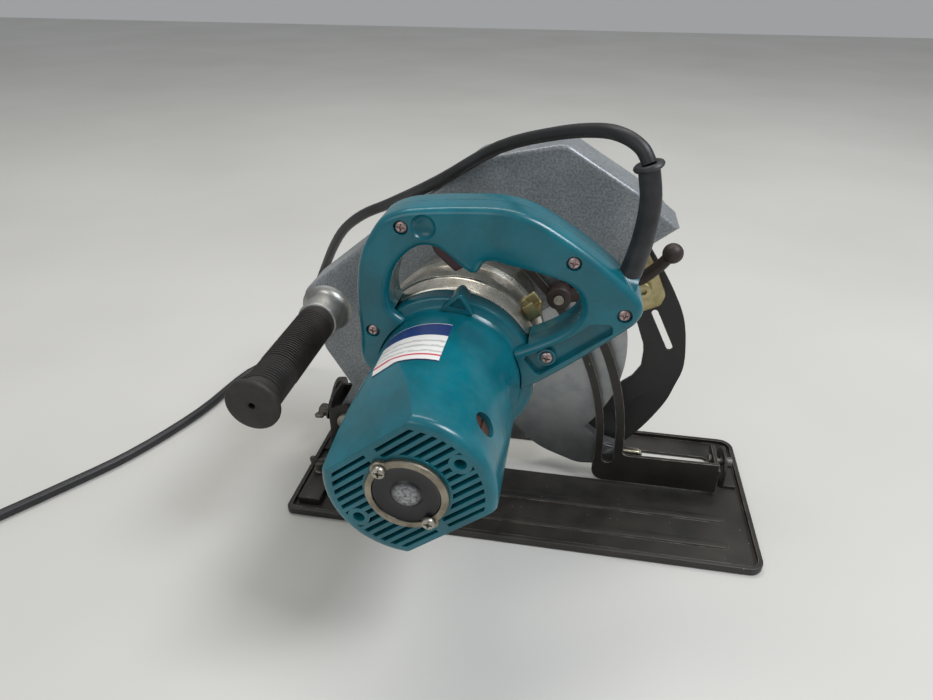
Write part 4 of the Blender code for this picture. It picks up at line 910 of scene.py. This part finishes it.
def rivingKnife():
    outer = [(318, -12), (316, -39), (313, -62), (308, -84), (298, -105), (283, -127), (269, -138),
             (255, -148),
             (236, -157), (216, -164), (198, -168), (186, -168)]
    inner = arc(bladeAt, 127.5, -80, -55, 24) + [(243, -111), (255, -106), (264, -95), (268, -88),
                                                 (274, -69),
                                                 (288, -12)]
    slot = arc((291, -68), 2.7, -11.3, 168.7, 12) + arc((284, -103), 2.7, 168.7, 348.7, 12)
    knife = flatPiece("rivingKnife", [flowing(outer, 5, closed=False) + inner, slot], 60.75, 63.25)
    carve(knife, knifeSlot(50, 70))
    roundOff(knife, 0.35, 2, 40)
    finishPiece(knife, "riving_knife", "knife", ["riving_knife"])
    outline = rounded([(288, 6, 0), (318, 6, 0), (313, -33, 4), (308, -54, 6), (300, -60, 6),
                       (283, -56, 4)], 8)
    bracket = flatPiece("knifeBracket", [outline], 50.5, 57)
    carve(bracket, barrel("hole", 3.9, 40, 70, (296, 0, -40), "Y", 32))
    roundOff(bracket, 0.9, 3, 40)
    finishPiece(bracket, "saw_body", "passivated", ["knife_bracket"])
    bolt = lathe("knifeBolt", [(0, 45.6), (5.6, 45.6), (6.4, 45.9), (6.8, 46.6), (6.8, 50.2), (3.5, 50.2),
                               (3.5, 68),
                               (0, 68)], (296, 0, -40), "Y", 48)
    carve(bolt, barrel("socket", 3.0, 44, 48.2, (296, 0, -40), "Y", 6))
    finishPiece(bolt, "saw_body", "passivated", ["knife_bolt"])


def knifeSlot(low, high):
    # the knife slides 3.5 mm on its bolt
    run = Vector((7, 35)).normalized() * 3.5
    along = math.degrees(math.atan2(run.y, run.x))
    outline = arc((296, -40), 3.9, along + 90, along + 270, 16) + arc((296 + run.x, -40 + run.y), 3.9,
                                                                      along - 90,
                                                                     along + 90, 16)
    return flatPiece("knifeSlot", [outline], low, high)


# Base, bevel and depth pieces

def basePlate():
    look = {"front": -200, "rear": 200, "near": -50, "far": 117, "sheet": 3.0, "rim": 7.0, "wide": 4.0,
            "slot": (-151, 174, 40, 90), "relief": ((-191, 70), (-148, 104)), "ribs": (-24.0, 6.0),
            "ribHalf": 4}
    wide, sheet, ribHalf = look["wide"], look["sheet"], look["ribHalf"]
    slotFront, slotRear, slotNear, slotFar = look["slot"]
    front, rear, near, far = look["front"], look["rear"], look["near"], look["far"]
    rim = rounded([(front, near, 6), (rear, near, 12), (rear, far, 12), (front, far, 6)], 12)
    inner = rounded([(front + wide, near + wide, 4), (rear - wide, near + wide, 9),
                     (rear - wide, far - wide, 9),
                     (front + wide, far - wide, 4)], 12)
    slot = rounded([(slotFront, slotNear, 6), (slotRear, slotNear, 6), (slotRear, slotFar, 6),
                    (slotFront, slotFar, 6)], 10)
    plate = flatPiece("basePlate", [rim], 0, look["rim"], 1.2, plane="Z", rounds=4)
    reliefLow, reliefHigh = look["relief"]
    carve(plate, [flatPiece("pan", [inner], sheet, 12, plane="Z"),
                  flatPiece("bladeSlot", [slot], -5, 12, plane="Z"),
                  block("relief", (*reliefLow, -5), (*reliefHigh, 12))])
    ribs = []
    for y in look["ribs"]:
        outline = rounded([(-110, y - ribHalf, 3.9), (176, y - ribHalf, 3.9), (176, y + ribHalf, 3.9),
                           (-110, y + ribHalf, 3.9)], 10)
        ribs.append(flatPiece("rib", [outline], sheet - 1.6, sheet + 1.4, 1.2, plane="Z", rounds=4))
    weld(plate, ribs)
    finishPiece(plate, "base", "blackBase", ["base_plate"])


def bevelPieces():
    outline = [(34, 3.3)] + rounded([(36, 28, 16), (50, 50, 16), (74, 64, 18), (97, 50, 14), (103, 22, 18)],
                                    10) \
        + [(104, 3.3)]
    plate = flatPiece("bevelQuadrant", [outline, slotArc((55, 2), 36.1, 7, 100.5, 42, 32)], -192.0, -189.5,
                      plane="X")
    weld(plate, block("foot", (-195.6, 34.5, 3.3), (-191.0, 103.5, 5.8)))
    roundOff(plate, 0.5, 2, 50)
    finishPiece(plate, "base", "blackSteel", ["bevel_quadrant"])
    outline = rounded([(48, 3.3, 0), (84, 3.3, 0), (84, 20, 8), (74, 32, 8), (56, 32, 8), (48, 22, 6)], 10)
    rear = flatPiece("rearBevelBracket", [outline, slotArc((55, 2), 21.8, 7, 86, 17, 24)], 180.0, 182.5,
                     plane="X")
    weld(rear, block("foot", (182.0, 48, 3.3), (193.0, 84, 5.8)))
    roundOff(rear, 0.5, 2, 50)
    finishPiece(rear, "base", "blackSteel", ["rear_bevel_bracket"])
    outline = rounded([(40, 9, 0), (58, 9, 0), (84, 35, 0), (84, 58, 10), (40, 58, 10)], 10)
    front = flatPiece("bevelBracket", [outline], -189.0, -186.0, plane="X")
    cheeks = []
    for low, high, foot in ((40.0, 43.5, 14), (80.5, 84.0, 33.2)):
        cheek = rounded([(-188, foot, 0), (-166, foot, 6), (-157, 36, 6), (-159, 50, 8), (-170, 56, 8),
                         (-188, 50, 0)], 8)
        cheeks.append(flatPiece("cheek", [cheek, circle((-171, 39.5), 5.3, 32)], low, high))
    weld(front, cheeks)
    carve(front, barrel("hole", 3.4, -230, -150, (0, 52, 38), "X", 32))
    roundOff(front, 0.5, 2, 50)
    finishPiece(front, "bevel_frame", "blackSteel", ["bevel_bracket"])


def wingBolts():
    # cast wing bolts: shank and boss turned, wings drawn flat with round tips
    bolt = lathe("bevelWingBolt", [(0, -183.4), (5, -183.4), (5, -185.6), (3.1, -185.6), (3.1, -192.4),
                                   (7.5, -192.4),
                                   (7.5, -194), (5.2, -195), (4.4, -203), (0, -203.6)], (0, 52, 38), "X", 48)
    outline = rounded([(-196, 41.5, 2), (-206, 40, 3.5), (-205, 46, 3), (-201, 52, 4), (-205, 58, 3),
                       (-206, 64, 3.5),
                       (-196, 62.5, 2)], 8)
    weld(bolt, flatPiece("wings", [outline], 36.6, 39.4, 1.1, plane="Z", rounds=3))
    finishPiece(bolt, "bevel_bolt", "darkZinc", ["bevel_wing_bolt"])
    channel = block("fenceClamp", (-193, -38, 3.3), (-173, 14, 9.5))
    carve(channel, [block("groove", (-200, -28, 2.0), (-160, -8, 6.5)),
                    barrel("hole", 3.3, 0, 20, (-185, 0, 0), "Z")])
    roundOff(channel, 0.6, 2, 40)
    finishPiece(channel, "base", "blackSteel", ["fence_clamp"])
    bolt = lathe("fenceWingBolt", [(0, 20), (4.2, 19.8), (5, 19.2), (5.4, 12), (7, 11.2), (7, 9.8),
                                   (3, 9.8), (3, 3.6),
                                   (0, 3.6)], (-185, 0, 0), "Z", 48)
    outline = rounded([(-193.6, 13, 2), (-196, 25, 3.5), (-190.4, 24.6, 3), (-185, 20.8, 4),
                       (-179.6, 24.6, 3),
                       (-174, 25, 3.5), (-176.4, 13, 2)], 8)
    weld(bolt, flatPiece("wings", [outline], -1.3, 1.3, 1.0, rounds=3))
    finishPiece(bolt, "fence_bolt", "darkZinc", ["fence_wing_bolt"])


def depthGuide():
    centre = (-171, 39.5)
    radius, inner, outer = 245.5, 12.0, 12.8
    outline = (arc(centre, radius + outer, 0, 47, 72) + arc(centre, radius - inner, 47, -4, 72)
               + arc((73.5, 18.1), 11.6, 185, 270, 12) + [(171.5, 6.5), (171.5, 38), (94, 37), (90.6, 37.4),
                                                          (88.4, 38.4)])
    plate = flatPiece("depthGuide", [outline, slotArc(centre, radius, 10, -1.7, 44.5, 72)], 36, 39)
    tab = rounded([(36, 6.5, 0), (56, 6.5, 6), (76, 25, 4), (76, 32, 4), (36, 32, 0)], 8)
    weld(plate, flatPiece("tab", [tab, circle((61, 23), 3.5, 24)], 170.0, 173.0, plane="X"))
    roundOff(plate, 0.5, 2, 50)
    finishPiece(plate, "bevel_frame", "guideSteel", ["depth_guide"])


def clampLever():
    hub = lathe("clampLever", [(4.3, 35.6), (9, 35.6), (9.5, 34.8), (9.5, 23.4), (9, 22.4), (8.4, 22),
                               (4.3, 22)],
                (245, 0, 0), "Y", 64)
    line = flowing([(252, 28, -4), (275, 25, -12), (302, 20, -18), (322, 12, -14), (335, 6, -8.5)], 8,
                   closed=False)
    arm = asMesh(wire("arm", line, [5.4 - 1.2 * i / (len(line) - 1) for i in range(len(line))], 6))
    pickNothing()
    bpy.ops.mesh.primitive_uv_sphere_add(segments=48, ring_count=24, radius=7.2 * mm,
                                         location=(0.336, 0.005, -0.008))
    ball = bpy.context.object
    ball.scale = (1, 0.98, 1)
    weld(hub, [arm, settle(ball)])
    carve(hub, barrel("bore", 4.3, 15, 40, (245, 0, 0), "Y", 32))
    finishPiece(hub, "clamp_lever", "lever", ["clamp_lever"], smooth=45)


# Cord

cordLook = {
    "diameter": 9.0, "length": 2.5, "seat": (65.6, -43.0, 318.0), "coilRadii": (53.5, 43.5),
    "coilTurns": 4 + 325 / 360, "perTurn": 18,
    "coilStart": -35.0, "coilCentre": (-540.0, -150.0), "layer": 9.2, "plugAt": (-486.5, -184.2, 18.8),
    "route": [(63.9, -41.9, 321.2), (61, -40, 325.2), (54.5, -36, 329.3), (45, -29, 331.5), (33, -18, 330),
              (11, 0, 323.5), (-31, 27, 306), (-76, 38, 277), (-131, 85, 240), (-161, 105, 222),
              (-187, 125, 200),
              (-208, 145, 173), (-231, 168, 135), (-256, 180, 88), (-282, 181, 44), (-306, 171, 13),
              (-330, 150, 4.8), (-347, 69, 4.8), (-378, -8, 4.8), (-412, -61, 4.8), (-445, -108, 4.8),
              (-478, -154.9, 4.8)]}


def ease(share):
    share = min(max(share, 0.0), 1.0)
    return share * share * (3 - 2 * share)


def coilPoints():
    # turns in two columns, each changing berth early enough to clear the turn before it
    look = cordLook
    x, y = look["coilCentre"]
    wide, narrow = look["coilRadii"]
    low, middle, high = [4.8 + look["layer"] * n for n in range(3)]
    berths = [(wide, low), (narrow, low), (narrow, middle), (wide, middle), (wide, high), (wide, high)]
    points = []
    for step in range(round(look["coilTurns"] * look["perTurn"]) + 1):
        travelled = min(step / look["perTurn"], look["coilTurns"])
        turn = min(int(travelled), len(berths) - 2)
        share = ease(((travelled - turn) * 360 - 285 + 60 * turn) / 60)
        (r0, z0), (r1, z1) = berths[turn], berths[turn + 1]
        a = math.radians(look["coilStart"] - travelled * 360)
        points.append((x + (r0 + (r1 - r0) * share) * math.cos(a),
                       y + (r0 + (r1 - r0) * share) * math.sin(a),
                       z0 + (z1 - z0) * share))
    return points


def cordGuard():
    line = flowing([(311.5, -46, 13.5), (323, -44, 22), (334, -42.5, 31.5), (348.5, -42, 48),
                    (357.8, -42, 65.5)], 8,
                   closed=False)
    sleeve = asMesh(wire("cordGuard", line, [7.2 - 0.6 * i / (len(line) - 1) for i in range(len(line))], 6))
    flange = lathe("flange", [(0, -4), (7.6, -4), (8.8, -3.3), (9.4, -2), (8.9, -0.8), (8, -0.1), (6.4, 0),
                              (5.6, -0.5),
                              (0, -0.5)], (0, 0, 0), "Z", 64)
    flange.location, flange.rotation_euler = (0.3588, -0.042, 0.068), (0, math.radians(20), 0)
    weld(sleeve, settle(flange))
    roundOff(sleeve, 0.6, 3, 50)
    finishPiece(sleeve, "saw_body", "guardRubber", ["cord_guard"], smooth=45)


def cordPieces():
    look = cordLook
    x, y, z = look["plugAt"]
    coil = coilPoints()
    lead = [(coil[-1][0], coil[-1][1] - 12, coil[-1][2] - 0.8), (x, y + 10, z + 0.6), (x, y, z)]
    route = flowing([look["seat"]] + look["route"] + coil + lead, 4, closed=False)
    spots = [Vector(p) * mm for p in route]
    length = sum((b - a).length for a, b in zip(spots, spots[1:]))
    print("cord length", round(length, 3))
    cord = wire("powerCord", route, [look["diameter"] / 2] * len(route), 5)
    pick(cord)
    cord.data.materials.append(paint["cordRubber"])
    profile = [(0, 0), (5, 0), (5.8, 0.5), (6, 1.4), (6.6, 5), (5.8, 5.6), (5.8, 6.6), (7.2, 7.2),
               (7.6, 10.4),
               (6.6, 11), (6.6, 12), (8.2, 12.6), (9.2, 15), (12, 17.6), (16, 19.4), (17.8, 21.2),
               (18.4, 24),
               (18.4, 41.6), (17.6, 43.4), (16, 44), (0, 44)]
    plug = lathe("plugBody", profile, (0, 0, 0), "Z", 96)
    for turn in range(24):
        a = math.radians(turn * 15)
        groove = barrel("groove", 1.0, 26, 40, (18.9 * math.cos(a), 18.9 * math.sin(a), 0), "Z", 12)
        carve(plug, groove)
    plug.location, plug.rotation_euler = (x * mm, y * mm, z * mm), (math.pi / 2, 0, 0)
    settle(plug)
    finishPiece(plug, "base", "blackNylon", ["plug"])
    for number, side in enumerate((1, -1), 1):
        pin = lathe(f"plugPin{number}", [(0, 43), (2.4, 43), (2.4, 60), (2, 61.4), (1.2, 62), (0, 62)],
                    (0, 0, 0), "Z",
                    32)
        pin.location, pin.rotation_euler = ((x + side * 9.5) * mm, y * mm, z * mm), (math.pi / 2, 0, 0)
        settle(pin)
        finishPiece(pin, "base", "zinc")
    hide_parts("power_cord", "cord_coil")
    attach(cord, "base")


# Carried-over nodes

def paintNodes():
    finishes = {"steel": ["armature_core", "armature_shaft", "spindle", "large_gear", "front_bearing",
                          "rear_bearing",
                          "spindle_bearing", "guard_spring", "stator", "trigger_pin"],
                "blade": ["saw_blade"],
                "zinc": ["blade_bolt", "outer_flange", "clamp_bolt", "grip_stud", "depth_pivot_pin"],
                "darkZinc": ["rear_bevel_pin"],
                "copper": ["commutator"], "carbon": ["brush_1", "brush_2"],
                "blackNylon": ["cooling_fan", "switch"]}
    for finish, names in finishes.items():
        for name in names:
            slots = nodes[name].data.materials
            if len(slots) == 0:
                slots.append(paint[finish])
            for index in range(len(slots)):
                slots[index] = paint[finish]


motorLabel(motorHousing())
motorEnd()
print("motor done")
handlePieces()
print("handle done")
bladeCase()
gearHousing()
shaftLock()
sideGrip()
print("case, gear housing and grip done")
lowerGuard()
rivingKnife()
print("guard and knife done")
basePlate()
bevelPieces()
wingBolts()
depthGuide()
clampLever()
print("base and brackets done")
cordGuard()
cordPieces()
paintNodes()
print("cord done")
